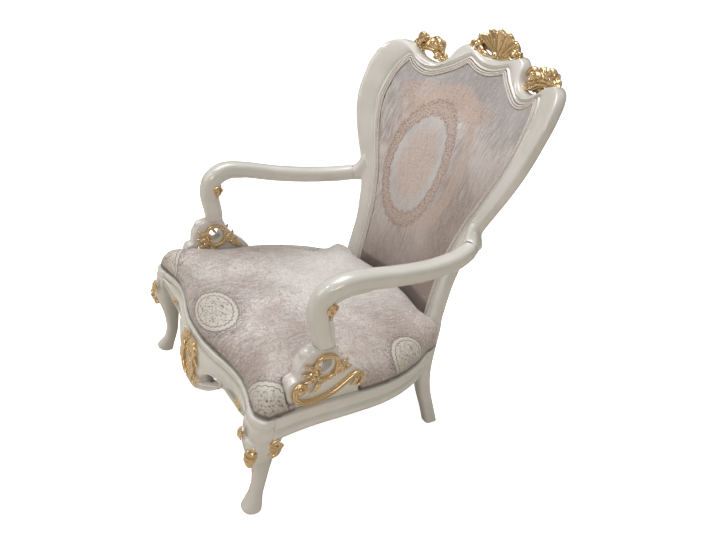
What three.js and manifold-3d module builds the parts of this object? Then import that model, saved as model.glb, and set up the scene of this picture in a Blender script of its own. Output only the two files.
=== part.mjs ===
// Carved open-arm throne chair: lacquered wood frame, gilded carving, upholstered seat and back.
// Millimetres, +Z up, the sitter faces -Y, origin under the middle of the whole chair.

import * as THREE from 'three';
import { mergeVertices } from 'three/addons/utils/BufferGeometryUtils.js';
import Module from 'manifold-3d';

const wasm = await Module();
wasm.setup();

// Fits
const JOINT_GAP = 0.3;          // glued joints between wooden pieces
const CARVING_GAP = 0.3;        // applied gilded carving above the wood
const CARVING_REACH = 13;       // room beside a bracket for its carving
const CLOTH_GAP = 0.6;          // upholstery to wood

// Seat frame
const RAIL_TOP = 325;
const RAIL_THICK = 34;
const SIDE_RAIL_DROP = 62;
const CORNER_X = 326;           // the front leg's block begins here
const CORNER_Y = -322;
const APRON_DROP = 177;         // the middle of the apron below the rail's top
const SLOT_X = 112;             // pierced slot in the apron
const SLOT_RISE = 41;           // its middle above the apron's lower edge

// Back
const BACK_START = 400;
const BACK_Y = 318;
const BACK_LEAN = 0.02;
const BACK_CURL = 2.35e-4;
const BACK_BOW = 9e-4;
const BACK_DEPTH = 48;
const CREST_JOINT = 1000;
const PAD_INSET = 6;            // edge of the pad behind the frame's face
const PAD_DEPTH = BACK_DEPTH - 18;
const PAD_CROWN = 16;
const OUTSIDE_THICK = 8;
const OUTSIDE_GAP = 5;        // stuffing to the outside panel

// Arms
const ARM_WIDTH = 50;
const ARM_HEIGHT = 48;
const BRACKET_TOP = 487;
const BRACKET_THICK = 40;
const BRACKET_X = 358;          // middle of the bracket's thickness

// Seat
const SEAT_TOP = 405;
const REAR_EDGE_Y = 250;        // behind this the seat's edge is hardly rounded
const REAR_EDGE_SHARE = 0.3;

// Colours
const ivory = [0.87, 0.86, 0.82];
const gold = [0.72, 0.53, 0.27];
const damask = [0.72, 0.68, 0.68];

function paint(colour, roughness, metalness) {
  const material = new THREE.MeshStandardMaterial({ roughness, metalness });
  material.color.setRGB(colour[0], colour[1], colour[2]);
  return material;
}

// A smooth curve through rows of [position, value, value, ...]
function sizes(rows) {
  const last = rows.length - 1;
  const slope = (i, k) => {
    const a = rows[Math.max(i - 1, 0)];
    const b = rows[Math.min(i + 1, last)];
    return (b[k] - a[k]) / (b[0] - a[0]);
  };
  return (p) => {
    const q = Math.min(Math.max(p, rows[0][0]), rows[last][0]);
    let i = 0;
    while (i < last - 1 && q > rows[i + 1][0]) i += 1;
    const h = rows[i + 1][0] - rows[i][0];
    const t = (q - rows[i][0]) / h;
    const result = [];
    for (let k = 1; k < rows[i].length; k += 1) {
      const a = rows[i][k];
      const b = rows[i + 1][k];
      const ease = t * t * (3 - 2 * t);
      const lead = t * (1 - t) * (1 - t) * h * slope(i, k);
      const tail = t * t * (t - 1) * h * slope(i + 1, k);
      result.push(a + (b - a) * ease + lead + tail);
    }
    return result;
  };
}

// A closed body through rings of points, each ring with the same number of points
function loft(rings) {
  const n = rings[0].length;
  const points = [];
  for (const ring of rings) {
    for (const p of ring) points.push(p.x, p.y, p.z);
  }
  const faces = [];
  for (let i = 0; i + 1 < rings.length; i += 1) {
    for (let j = 0; j < n; j += 1) {
      const a = i * n + j;
      const b = i * n + (j + 1) % n;
      faces.push(a, b, b + n, a, b + n, a + n);
    }
  }
  const middles = [rings[0], rings[rings.length - 1]].map((ring) => {
    const middle = new THREE.Vector3();
    for (const p of ring) middle.add(p);
    return middle.divideScalar(n);
  });
  const first = points.length / 3;
  for (const m of middles) points.push(m.x, m.y, m.z);
  const top = (rings.length - 1) * n;
  for (let j = 0; j < n; j += 1) {
    faces.push(first, (j + 1) % n, j);
    faces.push(first + 1, top + j, top + (j + 1) % n);
  }
  return solid(points, faces);
}

// Turns every face outward
function solid(points, faces) {
  const at = (i) => new THREE.Vector3(points[3 * i], points[3 * i + 1], points[3 * i + 2]);
  let volume = 0;
  for (let f = 0; f < faces.length; f += 3) {
    volume += at(faces[f]).dot(at(faces[f + 1]).cross(at(faces[f + 2])));
  }
  const order = volume < 0 ? faces.slice().reverse() : faces;
  const geometry = new THREE.BufferGeometry();
  geometry.setAttribute('position', new THREE.Float32BufferAttribute(points, 3));
  geometry.setIndex(order);
  return geometry;
}

// Joins and cuts
function bareOf(geometry) {
  const bare = geometry.clone();
  bare.deleteAttribute('normal');
  bare.deleteAttribute('uv');
  return bare;
}

function body(geometry) {
  const merged = mergeVertices(bareOf(geometry), 1e-3);
  return new wasm.Manifold(new wasm.Mesh({
    numProp: 3,
    vertProperties: new Float32Array(merged.attributes.position.array),
    triVerts: new Uint32Array(merged.index.array),
  }));
}

function geometryOf(manifold) {
  const mesh = manifold.getMesh();
  const geometry = new THREE.BufferGeometry();
  geometry.setAttribute('position', new THREE.Float32BufferAttribute(mesh.vertProperties, 3));
  geometry.setIndex(Array.from(mesh.triVerts));
  return geometry;
}

function join(...geometries) {
  return geometryOf(geometries.map(body).reduce((a, b) => a.add(b)));
}

function cut(geometry, ...tools) {
  return geometryOf(tools.map(body).reduce((a, b) => a.subtract(b), body(geometry)));
}

// Leaves out loose crumbs that a cut can split off
function largest(geometry) {
  const parts = body(geometry).decompose();
  parts.sort((a, b) => b.volume() - a.volume());
  return geometryOf(parts[0]);
}

function meet(a, b) {
  return geometryOf(body(a).intersect(body(b)));
}

// The same body with its faces moved outward, to cut clearances
function grown(geometry, gap) {
  const merged = mergeVertices(bareOf(geometry), 1e-3);
  merged.computeVertexNormals();
  const points = Array.from(merged.attributes.position.array);
  const normals = merged.attributes.normal.array;
  return solid(points.map((v, i) => v + normals[i] * gap), Array.from(merged.index.array));
}

function mirror(geometry) {
  const points = Array.from(geometry.attributes.position.array);
  for (let i = 0; i < points.length; i += 3) points[i] = -points[i];
  return solid(points, Array.from(geometry.index.array));
}

// Back: a surface hollow toward the sitter that curls rearward as it rises
function backY(x, z) {
  const t = z - BACK_START;
  return BACK_Y + BACK_LEAN * t + BACK_CURL * t * t - BACK_BOW * x * x;
}

// Section of the back frame: share across from inner to outer edge, share of the depth
const FRAME_SECTION = [
  [0, 0.24], [0.1, 0.02], [0.5, -0.06], [0.9, 0.08], [1, 0.45], [0.9, 0.92], [0.25, 1], [0, 0.8],
];

function frameRing(inner, outer, depth, front) {
  return FRAME_SECTION.map(([across, deep]) => {
    const x = inner[0] + (outer[0] - inner[0]) * across;
    const z = inner[1] + (outer[1] - inner[1]) * across;
    const face = front === undefined ? backY(x, z) : front;
    return new THREE.Vector3(x, face + depth * deep, z);
  });
}

// Post: height, inner edge, outer edge, front face (only below the seat), depth
const postSizes = sizes([
  [0, 260, 297, 334, 48],
  [60, 254, 292, 308, 46],
  [125, 243, 284, 279, 47],
  [180, 231, 276, 264, 47],
  [235, 218, 268, 260, 47],
  [300, 205, 258, 266, 47],
  [350, 199, 252, 268, BACK_DEPTH],
  [400, 197, 250, 270, BACK_DEPTH],
  [460, 196, 247, 0, BACK_DEPTH],
  [520, 197, 246, 0, BACK_DEPTH],
  [580, 200, 253, 0, BACK_DEPTH],
  [640, 211, 267, 0, BACK_DEPTH],
  [700, 227, 288, 0, BACK_DEPTH],
  [760, 250, 314, 0, BACK_DEPTH],
  [820, 273, 342, 0, BACK_DEPTH],
  [880, 292, 365, 0, BACK_DEPTH],
  [940, 302, 378, 0, BACK_DEPTH],
  [CREST_JOINT, 298, 381, 0, BACK_DEPTH],
]);
const POST_LEVELS = [0, 30, 60, 92, 125, 152, 180, 208, 235, 265, 300, 350, 400, 460, 520,
  580, 640, 700, 760, 820, 880, 940, CREST_JOINT - JOINT_GAP / 2];

function post() {
  const rings = POST_LEVELS.map((z) => {
    const [inner, outer, front, depth] = postSizes(z);
    return frameRing([inner, z], [outer, z], depth, z < BACK_START ? front : undefined);
  });
  return loft(rings);
}

// Crest rail, one half: inner edge x, z and outer edge x, z from the ear's joint to the middle
const CREST_HALF = [
  [298, CREST_JOINT, 381, CREST_JOINT],
  [295, 1018, 381, 1024],
  [290, 1036, 377, 1050],
  [282, 1053, 370, 1076],
  [276, 1064, 358, 1095],
  [271, 1070, 340, 1108],
  [267, 1073, 318, 1114],
  [261, 1071, 291, 1110],
  [252, 1063, 270, 1099],
  [240, 1053, 252, 1086],
  [222, 1045, 230, 1077],
  [200, 1041, 206, 1073],
  [178, 1044, 182, 1075],
  [157, 1053, 163, 1084],
  [138, 1063, 151, 1097],
  [120, 1074, 143, 1113],
  [104, 1085, 137, 1129],
  [90, 1097, 126, 1142],
  [79, 1106, 109, 1150],
  [72, 1108, 90, 1152],
  [62, 1104, 72, 1146],
  [45, 1097, 50, 1136],
  [23, 1091, 25, 1130],
  [0, 1089, 0, 1128],
];

function crest() {
  const right = CREST_HALF.map((row, i) => {
    const lift = i === 0 ? JOINT_GAP / 2 : 0;
    return [row[0], row[1] + lift, row[2], row[3] + lift];
  });
  const left = right.slice(0, -1).reverse().map((row) => [-row[0], row[1], -row[2], row[3]]);
  const rings = right.concat(left).map(([xi, zi, xo, zo]) => (
    frameRing([xi, zi], [xo, zo], BACK_DEPTH)
  ));
  return loft(rings);
}

// The opening of the back frame, from the middle of the bottom up the right side to the middle
const PANEL_BOTTOM = 342;
const PANEL_MIDDLE = 730;

function panelEdge(inset) {
  const side = [];
  for (const z of [PANEL_BOTTOM, ...POST_LEVELS.filter((z) => z >= BACK_START && z < 960)]) {
    side.push([postSizes(z)[0], z]);
  }
  for (const row of CREST_HALF) side.push([row[0], row[1]]);
  const right = side.map(([x, z], i) => {
    const a = side[Math.max(i - 1, 0)];
    const b = side[Math.min(i + 1, side.length - 1)];
    const dx = b[0] - a[0];
    const dz = b[1] - a[1];
    const l = Math.hypot(dx, dz);
    if (i === 0) return [x - inset, z + inset];
    if (i === side.length - 1) return [0, z - inset];
    return [x - inset * dz / l, z + inset * dx / l];
  });
  const half = right[0][0];
  const bottom = [0, half / 3, (2 * half) / 3].map((x) => [x, PANEL_BOTTOM + inset]);
  const whole = bottom.concat(right);
  const left = whole.slice(1, -1).reverse().map(([x, z]) => [-x, z]);
  return whole.concat(left);
}

// Padded panel between two surfaces that follow the hollow of the back
function panel(edge, front, rear, crown) {
  const place = (share, y) => edge.map(([x, z]) => {
    const px = x * share;
    const pz = PANEL_MIDDLE + (z - PANEL_MIDDLE) * share;
    return new THREE.Vector3(px, backY(px, pz) + y, pz);
  });
  const rings = [place(0.5, rear), place(0.92, rear), place(1, rear)];
  for (const share of [1, 0.92, 0.5]) rings.push(place(share, front - crown * (1 - share ** 4)));
  return loft(rings);
}

// Seat frame plan: outer face of the front rail by x, of the side rail by y
const frontFace = sizes([
  [0, -381], [60, -377], [118, -366], [173, -352], [230, -344], [284, -350], [330, -363], [380, -371],
]);
const sideFace = sizes([
  [-380, 392], [-338, 398], [-300, 396], [-250, 391], [-200, 388], [-77, 387], [0, 384],
  [64, 374], [110, 361], [163, 341], [198, 321], [221, 306], [262, 272],
]);

// Lower edge of the apron by x
const apronEdge = sizes([
  [0, RAIL_TOP - APRON_DROP],
  [35, RAIL_TOP - APRON_DROP + 4],
  [65, RAIL_TOP - APRON_DROP + 20],
  [100, RAIL_TOP - APRON_DROP + 40],
  [127, RAIL_TOP - APRON_DROP + 62],
  [152, RAIL_TOP - APRON_DROP + 88],
  [172, 243],
  [205, 236],
  [240, 237],
  [270, 245],
  [298, 262],
  [CORNER_X, 280],
]);

function frontRail() {
  const rings = [];
  const steps = 19;
  for (let i = -steps; i <= steps; i += 1) {
    const x = (CORNER_X - JOINT_GAP) * i / steps;
    const y = frontFace(Math.abs(x))[0];
    const low = apronEdge(Math.abs(x))[0];
    const drop = RAIL_TOP - low;
    const bulge = 5;
    rings.push([
      [y + 3, RAIL_TOP], [y, RAIL_TOP - 5], [y - bulge, RAIL_TOP - drop * 0.45],
      [y + 2, low + 8], [y + 9, low], [y + RAIL_THICK - 4, low],
      [y + RAIL_THICK, low + 6], [y + RAIL_THICK, RAIL_TOP],
    ].map(([py, pz]) => new THREE.Vector3(x, py, pz)));
  }
  return cut(loft(rings), apronSlot(1), apronSlot(-1));
}

// Crescent slot pierced through the apron beside the middle
function apronSlot(side) {
  const middle = apronEdge(SLOT_X)[0] + SLOT_RISE;
  const outline = [];
  for (let i = 0; i < 12; i += 1) {
    const a = (2 * Math.PI * i) / 12;
    const u = 48 * Math.cos(a);
    const v = 14 * Math.sin(a) - 8 * Math.cos(a) ** 2;
    outline.push([side * (SLOT_X + u * 0.86 - v * 0.5), middle + u * 0.5 + v * 0.86]);
  }
  return loft([-500, -250].map((y) => outline.map(([x, z]) => new THREE.Vector3(x, y, z))));
}

// Side rail, right: follows the bowed plan from the front leg's block to the rear post
const SIDE_END_Y = 262;

function sideRail() {
  const rings = [];
  const steps = 12;
  const start = CORNER_Y + JOINT_GAP;
  for (let i = 0; i <= steps; i += 1) {
    const y = start + (SIDE_END_Y - start) * i / steps;
    const x = sideFace(y)[0];
    const slope = (sideFace(y + 1)[0] - sideFace(y - 1)[0]) / 2;
    const wide = RAIL_THICK * Math.hypot(1, slope);
    const low = RAIL_TOP - SIDE_RAIL_DROP;
    rings.push([
      [x - 3, RAIL_TOP], [x, RAIL_TOP - 4], [x + 3, RAIL_TOP - 34], [x + 5, low + 8], [x, low],
      [x - wide + 4, low], [x - wide, low + 5], [x - wide, RAIL_TOP],
    ].map(([px, pz]) => new THREE.Vector3(px, y, pz)));
  }
  return loft(rings);
}

function rearRail() {
  const x = postSizes(RAIL_TOP + 10)[0] - 5;
  const rings = [-1, 0, 1].map((side) => [
    [272, RAIL_TOP], [272, 268], [304, 268], [304, RAIL_TOP],
  ].map(([py, pz]) => new THREE.Vector3(x * side, py + (side === 0 ? 14 : 0), pz)));
  return loft(rings);
}

// Cabriole leg: height, middle x, middle y, reach outward, inward, forward, rearward
const legSizes = sizes([
  [0, 362, -325, 19, 17, 19, 17],
  [10, 363, -327, 23, 20, 26, 20],
  [24, 362, -326, 21, 20, 25, 21],
  [48, 358, -321, 17, 18, 19, 19],
  [85, 356, -318, 16, 17, 16, 21],
  [125, 359, -322, 17, 19, 17, 26],
  [165, 363, -329, 21, 23, 22, 33],
  [205, 367, -337, 28, 28, 31, 43],
  [245, 368, -340, 32, 36, 40, 56],
  [264, 366, -338, 31, 40, 40, 62],
]);
const LEG_LEVELS = [0, 10, 24, 48, 85, 125, 150, 175, 205, 225, 245, 264];

function legRing(z, count) {
  const [cx, cy, outward, inward, forward, rearward] = legSizes(z);
  const ring = [];
  for (let j = 0; j < count; j += 1) {
    const a = (2 * Math.PI * (j + 0.5)) / count;
    const c = Math.cos(a);
    const s = Math.sin(a);
    const round = 1 / (Math.abs(c) ** 2.6 + Math.abs(s) ** 2.6) ** (1 / 2.6);
    const x = round * c * (c > 0 ? outward : inward);
    const y = round * s * (s > 0 ? rearward : forward);
    ring.push(new THREE.Vector3(cx + x, cy + y, z));
  }
  return ring;
}

// The corner block carries on the faces of both rails
function cornerBlock() {
  return loft([
    [RAIL_TOP, 0], [RAIL_TOP - 6, 3], [RAIL_TOP - 26, 6], [262, 4], [250, -6],
  ].map(([z, out]) => {
    const fy = frontFace(CORNER_X)[0] - out;
    const sx = sideFace(CORNER_Y)[0] + out - 3;
    return [
      [CORNER_X, CORNER_Y], [CORNER_X, fy], [CORNER_X + 26, fy - 5], [CORNER_X + 48, fy - 3],
      [sx - 8, fy + 6], [sx - 1, fy + 20], [sx, fy + 34], [sx, CORNER_Y],
    ].map(([x, y]) => new THREE.Vector3(x, y, z));
  }));
}

function frontLeg() {
  const lower = loft(LEG_LEVELS.map((z) => legRing(z, 10)));
  const keep = slab(CORNER_X - 60, 460, -460, CORNER_Y, 0, RAIL_TOP);
  const knee = slab(0, 460, -460, -200, 0, RAIL_TOP - SIDE_RAIL_DROP - JOINT_GAP);
  return join(meet(lower, knee), meet(cornerBlock(), keep));
}

function slab(x0, x1, y0, y1, z0, z1) {
  const geometry = new THREE.BoxGeometry(x1 - x0, y1 - y0, z1 - z0);
  return geometry.translate((x0 + x1) / 2, (y0 + y1) / 2, (z0 + z1) / 2);
}

// A tube of changing thickness along a curve: rows of x, y, z, half width, half height
function rod(rows, stations, count, options = {}) {
  const path = new THREE.CatmullRomCurve3(
    rows.map((r) => new THREE.Vector3(r[0], r[1], r[2])), false, 'centripetal',
  );
  const across = options.across || new THREE.Vector3(1, 0, 0);
  const rings = [];
  const square = options.square || 2;
  for (let i = 0; i <= stations; i += 1) {
    const u = i / stations;
    const p = path.getPoint(u);
    const t = path.getTangent(u);
    if (i === 0 && options.startNormal) t.copy(options.startNormal);
    if (i === stations && options.endNormal) t.copy(options.endNormal);
    const side = across.clone().addScaledVector(t, -across.dot(t)).normalize();
    const up = new THREE.Vector3().crossVectors(t, side).normalize();
    const k = u * (rows.length - 1);
    const a = Math.min(Math.floor(k), rows.length - 2);
    const f = k - a;
    const w = rows[a][3] + (rows[a + 1][3] - rows[a][3]) * f;
    const h = rows[a][4] + (rows[a + 1][4] - rows[a][4]) * f;
    const ring = [];
    for (let j = 0; j < count; j += 1) {
      const angle = (2 * Math.PI * (j + 0.5)) / count;
      const c = Math.cos(angle);
      const s = Math.sin(angle);
      const round = 1 / (Math.abs(c) ** square + Math.abs(s) ** square) ** (1 / square);
      ring.push(p.clone().addScaledVector(side, w * round * c).addScaledVector(up, h * round * s));
    }
    rings.push(ring);
  }
  return loft(rings);
}

const ARM_JOINT = new THREE.Vector3(303, 262, 663);

function arm() {
  const w = ARM_WIDTH / 2;
  const h = ARM_HEIGHT / 2;
  return rod([
    [ARM_JOINT.x, ARM_JOINT.y - JOINT_GAP, ARM_JOINT.z, w * 0.9, h],
    [324, 192, 650, w, h],
    [340, 93, 643, w, h],
    [350, -13, 645, w, h],
    [360, -120, 653, w, h],
    [361, -180, 649, w, h],
    [354, -220, 622, w, h],
    [350, -228, 580, w, h],
    [350, -213, 528, w, h * 0.95],
    [358, -200, BRACKET_TOP + JOINT_GAP, w * 0.95, h],
  ], 26, 8, {
    square: 3,
    startNormal: new THREE.Vector3(0, -1, 0),
    endNormal: new THREE.Vector3(0, 0, -1),
  });
}

function armStub() {
  const w = ARM_WIDTH / 2;
  const h = ARM_HEIGHT / 2;
  return rod([
    [284, 290, 676, w * 0.8, h * 1.5],
    [294, 276, 668, w * 0.9, h * 1.15],
    [ARM_JOINT.x, ARM_JOINT.y, ARM_JOINT.z, w * 0.9, h],
  ], 3, 8, { square: 3, endNormal: new THREE.Vector3(0, -1, 0) });
}

// Bracket under the arm support: side outline by y, z, with a pierced oval
const BRACKET_OUTLINE = [
  [-264, RAIL_TOP + JOINT_GAP], [-281, 345], [-290, 366], [-291, 388], [-283, 404], [-269, 411],
  [-270, 432], [-266, 452], [-256, 470], [-240, 482], [-224, BRACKET_TOP], [-178, BRACKET_TOP],
  [-162, 463], [-140, 440], [-115, 420], [-92, 404], [-78, 392], [-72, 372], [-79, 350],
  [-76, RAIL_TOP + JOINT_GAP],
];

function bracket() {
  const shape = new THREE.Shape(BRACKET_OUTLINE.map(([y, z]) => new THREE.Vector2(y, z)));
  const hole = [];
  for (let i = 0; i < 12; i += 1) {
    const a = (2 * Math.PI * i) / 12;
    hole.push(new THREE.Vector2(-203 + 25 * Math.cos(a), 440 + 22 * Math.sin(a)));
  }
  shape.holes.push(new THREE.Path(hole));
  const geometry = new THREE.ExtrudeGeometry(shape, {
    depth: BRACKET_THICK, bevelEnabled: false, curveSegments: 6,
  });
  geometry.rotateX(Math.PI / 2);
  geometry.rotateZ(Math.PI / 2);
  geometry.translate(BRACKET_X - BRACKET_THICK / 2, 0, 0);
  return join(geometry);
}

// Seat: crowned cushion over the rails, rounded down to their top
const seatEdge = (() => {
  const edge = [];
  for (const x of [0, 60, 118, 173, 230, 284, 330, 366]) edge.push([x, frontFace(x)[0] + 2]);
  for (const y of [-345, -290, -200, -80, 0, 64, 110, 163, 210]) edge.push([sideFace(y)[0] - 2, y]);
  edge.push([303, 248], [286, 272], [262, 284], [190, 276], [90, 297], [0, 304]);
  return edge;
})();

function seatShape() {
  const left = seatEdge.slice(1, -1).reverse().map(([x, y]) => [-x, y]);
  const edge = seatEdge.concat(left);
  const middle = -50;
  const place = (inset, z) => edge.map(([x, y]) => {
    const rear = y > REAR_EDGE_Y ? REAR_EDGE_SHARE : 1;
    const share = 1 - (inset * rear) / Math.hypot(x, y - middle);
    return new THREE.Vector3(x * share, middle + (y - middle) * share, z);
  });
  return loft([
    place(30, RAIL_TOP + CLOTH_GAP),
    place(3, RAIL_TOP + CLOTH_GAP),
    place(0, RAIL_TOP + 14),
    place(5, RAIL_TOP + 36),
    place(26, RAIL_TOP + 58),
    place(80, RAIL_TOP + 72),
    place(190, SEAT_TOP),
  ]);
}

// Gilded carving: rounded lobes and tapering scrolls
function lobe(x, y, z, rx, ry, rz, turn = [0, 0, 0]) {
  const geometry = new THREE.SphereGeometry(1, 6, 5);
  geometry.applyMatrix4(new THREE.Matrix4().compose(
    new THREE.Vector3(x, y, z),
    new THREE.Quaternion().setFromEuler(new THREE.Euler(turn[0], turn[1], turn[2])),
    new THREE.Vector3(rx, ry, rz),
  ));
  return geometry;
}

// Shell on the middle of the crest: a fan of rays round its root
const SHELL_ROOT = [backY(0, 1124) + BACK_DEPTH * 0.6, 1124];
const shellReach = sizes([
  [0, 10, 84], [25, 10, 88], [45, 12, 94], [55, 30, 98], [64, 58, 106], [72, 84, 111], [82, 92, 107],
]);

function crestShell() {
  const rings = [];
  for (let i = -12; i <= 12; i += 1) {
    const degrees = (82 * i) / 12;
    const a = (degrees * Math.PI) / 180;
    const [near, far] = shellReach(Math.abs(degrees));
    const ridge = 5 * Math.cos(degrees * Math.PI / 12);
    const at = (r, y) => new THREE.Vector3(r * Math.sin(a), SHELL_ROOT[0] + y, SHELL_ROOT[1] + r * Math.cos(a));
    const tip = far + ridge * 0.6;
    rings.push([
      at(near, -8), at(near + (tip - near) * 0.4, -10 - ridge), at(near + (tip - near) * 0.85, -17 - ridge),
      at(tip, -9), at(near + (tip - near) * 0.85, 10), at(near, 12),
    ]);
  }
  return loft(rings);
}

// Leaf that bridges a scallop of the crest
function crestLeaf() {
  return join(
    rod([
      [290, 416, 1110, 5, 6], [268, 418, 1119, 13, 13], [235, 424, 1122, 15, 13],
      [203, 434, 1112, 14, 12], [176, 440, 1092, 12, 11], [160, 440, 1082, 6, 6],
    ], 7, 6),
    lobe(262, 412, 1126, 16, 12, 9, [0, 0.5, 0]),
    lobe(226, 420, 1134, 17, 13, 9, [0, -0.3, 0]),
    lobe(192, 432, 1118, 15, 12, 9, [0, -0.8, 0]),
  );
}

// Scrolls and flower on a face of the bracket
function bracketScroll(tail) {
  const x = BRACKET_X + BRACKET_THICK / 2 + 5;
  const row = ([y, z, w]) => [x, y, z, 6, w];
  const base = [
    [-252, 374, 4], [-243, 386, 5], [-257, 399, 6], [-272, 388, 6], [-272, 366, 7], [-256, 347, 7],
    [-226, 339, 7], [-192, 343, 7], [-162, 354, 7], [-136, 372, 6], [-112, 391, 6], [-93, 394, 6],
    [-80, 382, 6], [-82, 364, 5], [-92, 356, 3],
  ];
  const ring = [
    [-214, 436, 4], [-228, 450, 5], [-219, 466, 6], [-199, 470, 6], [-178, 462, 6], [-167, 444, 6],
    [-168, 424, 6], [-178, 409, 6], [-197, 402, 5], [-216, 404, 4],
  ];
  const pieces = [
    rod(ring.map(row), 10, 5),
    lobe(x, -238, 430, 7, 13, 9, [0.6, 0, 0]),
    lobe(x, -232, 412, 7, 13, 8, [-0.3, 0, 0]),
    lobe(x, -215, 398, 6, 15, 9, [0, 0, 0]),
    lobe(x, -158, 436, 6, 18, 10, [-0.7, 0, 0]),
  ];
  if (tail) pieces.push(rod(base.map(row), 15, 5), lobe(x, -228, 378, 6, 13, 26, [0.1, 0, 0]));
  else pieces.push(lobe(x, -249, 411, 6, 16, 9, [0.4, 0, 0]), lobe(x, -138, 424, 6, 18, 8, [-0.7, 0, 0]));
  const behind = slab(BRACKET_X - 60, BRACKET_X + BRACKET_THICK / 2 + CARVING_GAP, -400, 0, 250, 600);
  return largest(cut(join(...pieces), behind));
}

function inward(geometry) {
  const points = Array.from(geometry.attributes.position.array);
  for (let i = 0; i < points.length; i += 3) points[i] = 2 * BRACKET_X - points[i];
  return solid(points, Array.from(geometry.index.array));
}

function armBud(shape) {
  return cut(lobe(351, -200, 585, 9, 11, 15, [0.25, 0, 0]), grown(shape, 0.5));
}

// Shield with scrolls on the middle of the apron
function cartouche(rail) {
  const y = frontFace(0)[0];
  const half = (side) => [
    rod([
      [side * 14, y - 8, 300, 7, 6], [side * 34, y - 8, 296, 7, 7], [side * 42, y - 8, 274, 7, 7],
      [side * 33, y - 9, 252, 7, 7], [side * 40, y - 7, 228, 7, 7], [side * 36, y - 4, 200, 7, 7],
      [side * 18, y - 1, 180, 7, 6], [side * 4, y, 176, 7, 5],
    ], 9, 5, { across: new THREE.Vector3(0, 1, 0) }),
    lobe(side * 22, y - 7, 311, 13, 8, 8, [0, side * 0.6, 0]),
  ];
  return largest(cut(join(
    ...half(1), ...half(-1),
    lobe(0, y - 6, 262, 30, 10, 34),
    lobe(0, y - 2, 206, 26, 10, 30),
    lobe(0, y - 8, 309, 11, 9, 14),
  ), grown(rail, 0.5)));
}

function apronLeaf(rail) {
  const y = frontFace(255)[0];
  return cut(join(
    lobe(244, y - 1, 276, 13, 7, 8, [0, 0.5, 0]),
    lobe(258, y - 1, 266, 12, 8, 8, [0, 0.9, 0]),
  ), grown(rail, 0.5));
}

// Assembly
const wood = paint(ivory, 0.28, 0);
const group = new THREE.Group();
const MIDDLE_Y = 52;            // middle of the whole chair's depth

function add(name, geometry, material) {
  const placed = geometry.clone();
  placed.translate(0, -MIDDLE_Y, 0);
  placed.computeVertexNormals();
  const mesh = new THREE.Mesh(placed, material.clone());
  mesh.name = name;
  group.add(mesh);
}

function pair(name, geometry, material) {
  add(`${name}_right`, geometry, material);
  add(`${name}_left`, mirror(geometry), material);
}

const postShape = join(post(), armStub());
const crestShape = crest();
const railShape = frontRail();
const sideShape = sideRail();
const legShape = frontLeg();
const armShape = arm();
const bracketShape = bracket();
const gilt = paint(gold, 0.4, 0.7);
const cloth = paint(damask, 0.6, 0);

const postSolid = grown(postShape, 0.5);
const outer = bracketScroll(true);
const inner = inward(bracketScroll(false));
pair('back_post', postShape, wood);
add('crest_rail', crestShape, wood);
add('front_rail', railShape, wood);
pair('side_rail', cut(sideShape, postSolid), wood);
add('rear_rail', rearRail(), wood);
pair('front_leg', legShape, wood);
pair('arm', armShape, wood);
pair('arm_bracket', bracketShape, wood);

const crestCutter = grown(crestShape, 0.5);
add('crest_shell', cut(crestShell(), crestCutter), gilt);
pair('crest_leaf', cut(crestLeaf(), crestCutter), gilt);
pair('bracket_scroll_outer', outer, gilt);
pair('bracket_scroll_inner', inner, gilt);
pair('arm_bud', armBud(armShape), gilt);
add('apron_cartouche', cartouche(railShape), gilt);
pair('apron_leaf', apronLeaf(railShape), gilt);
const legCutter = grown(legShape, 0.5);
pair('knee_scroll', cut(lobe(386, -366, 218, 16, 16, 26, [0, 0, 0.8]), legCutter), gilt);
// The side leaf hangs just clear of the side rail's underside
const LEAF_HALF = 32;
const LEAF_Z = RAIL_TOP - SIDE_RAIL_DROP - LEAF_HALF + 1;
pair('knee_leaf_side', cut(lobe(394, -312, LEAF_Z, 9, 15, LEAF_HALF, [-0.3, 0, 0]), legCutter), gilt);
pair('knee_leaf_front', cut(lobe(350, -376, 262, 13, 10, 28, [0, 0.2, 0]), legCutter), gilt);

// The seat is cut round the posts and the brackets
const notch = (side) => loft([0, 1].map((end) => [
  [-292.5, 300], [-292.5, 500], [-70.5, 500], [-70.5, 300],
].map(([y, z]) => new THREE.Vector3(side * (end ? 460 : BRACKET_X - BRACKET_THICK / 2 - CARVING_REACH), y, z))));
add('seat_upholstery', cut(
  seatShape(), notch(1), notch(-1), grown(postShape, 0.9), mirror(grown(postShape, 0.9)),
), cloth);
const opening = panelEdge(CLOTH_GAP);
const padRear = PAD_INSET + PAD_DEPTH;
const rearFrom = padRear + OUTSIDE_GAP;
add('back_upholstery', panel(opening, PAD_INSET, padRear, PAD_CROWN), cloth);
add('outside_back_panel', panel(
  opening.slice().reverse(), rearFrom, rearFrom + OUTSIDE_THICK, 0,
), paint(damask, 0.8, 0));

export default group;
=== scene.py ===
# %% [markdown]
# A carved throne armchair: ivory lacquered wood, gilded carving and a silvery damask.
# The chair stands on a pale floor. Every size below is in millimetres as a chair maker would
# note it, and one function turns millimetres into Blender's metres.

# %% Start with the frame
import math

import bmesh
import bpy
import numpy as np
from mathutils import Matrix, Vector


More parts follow.
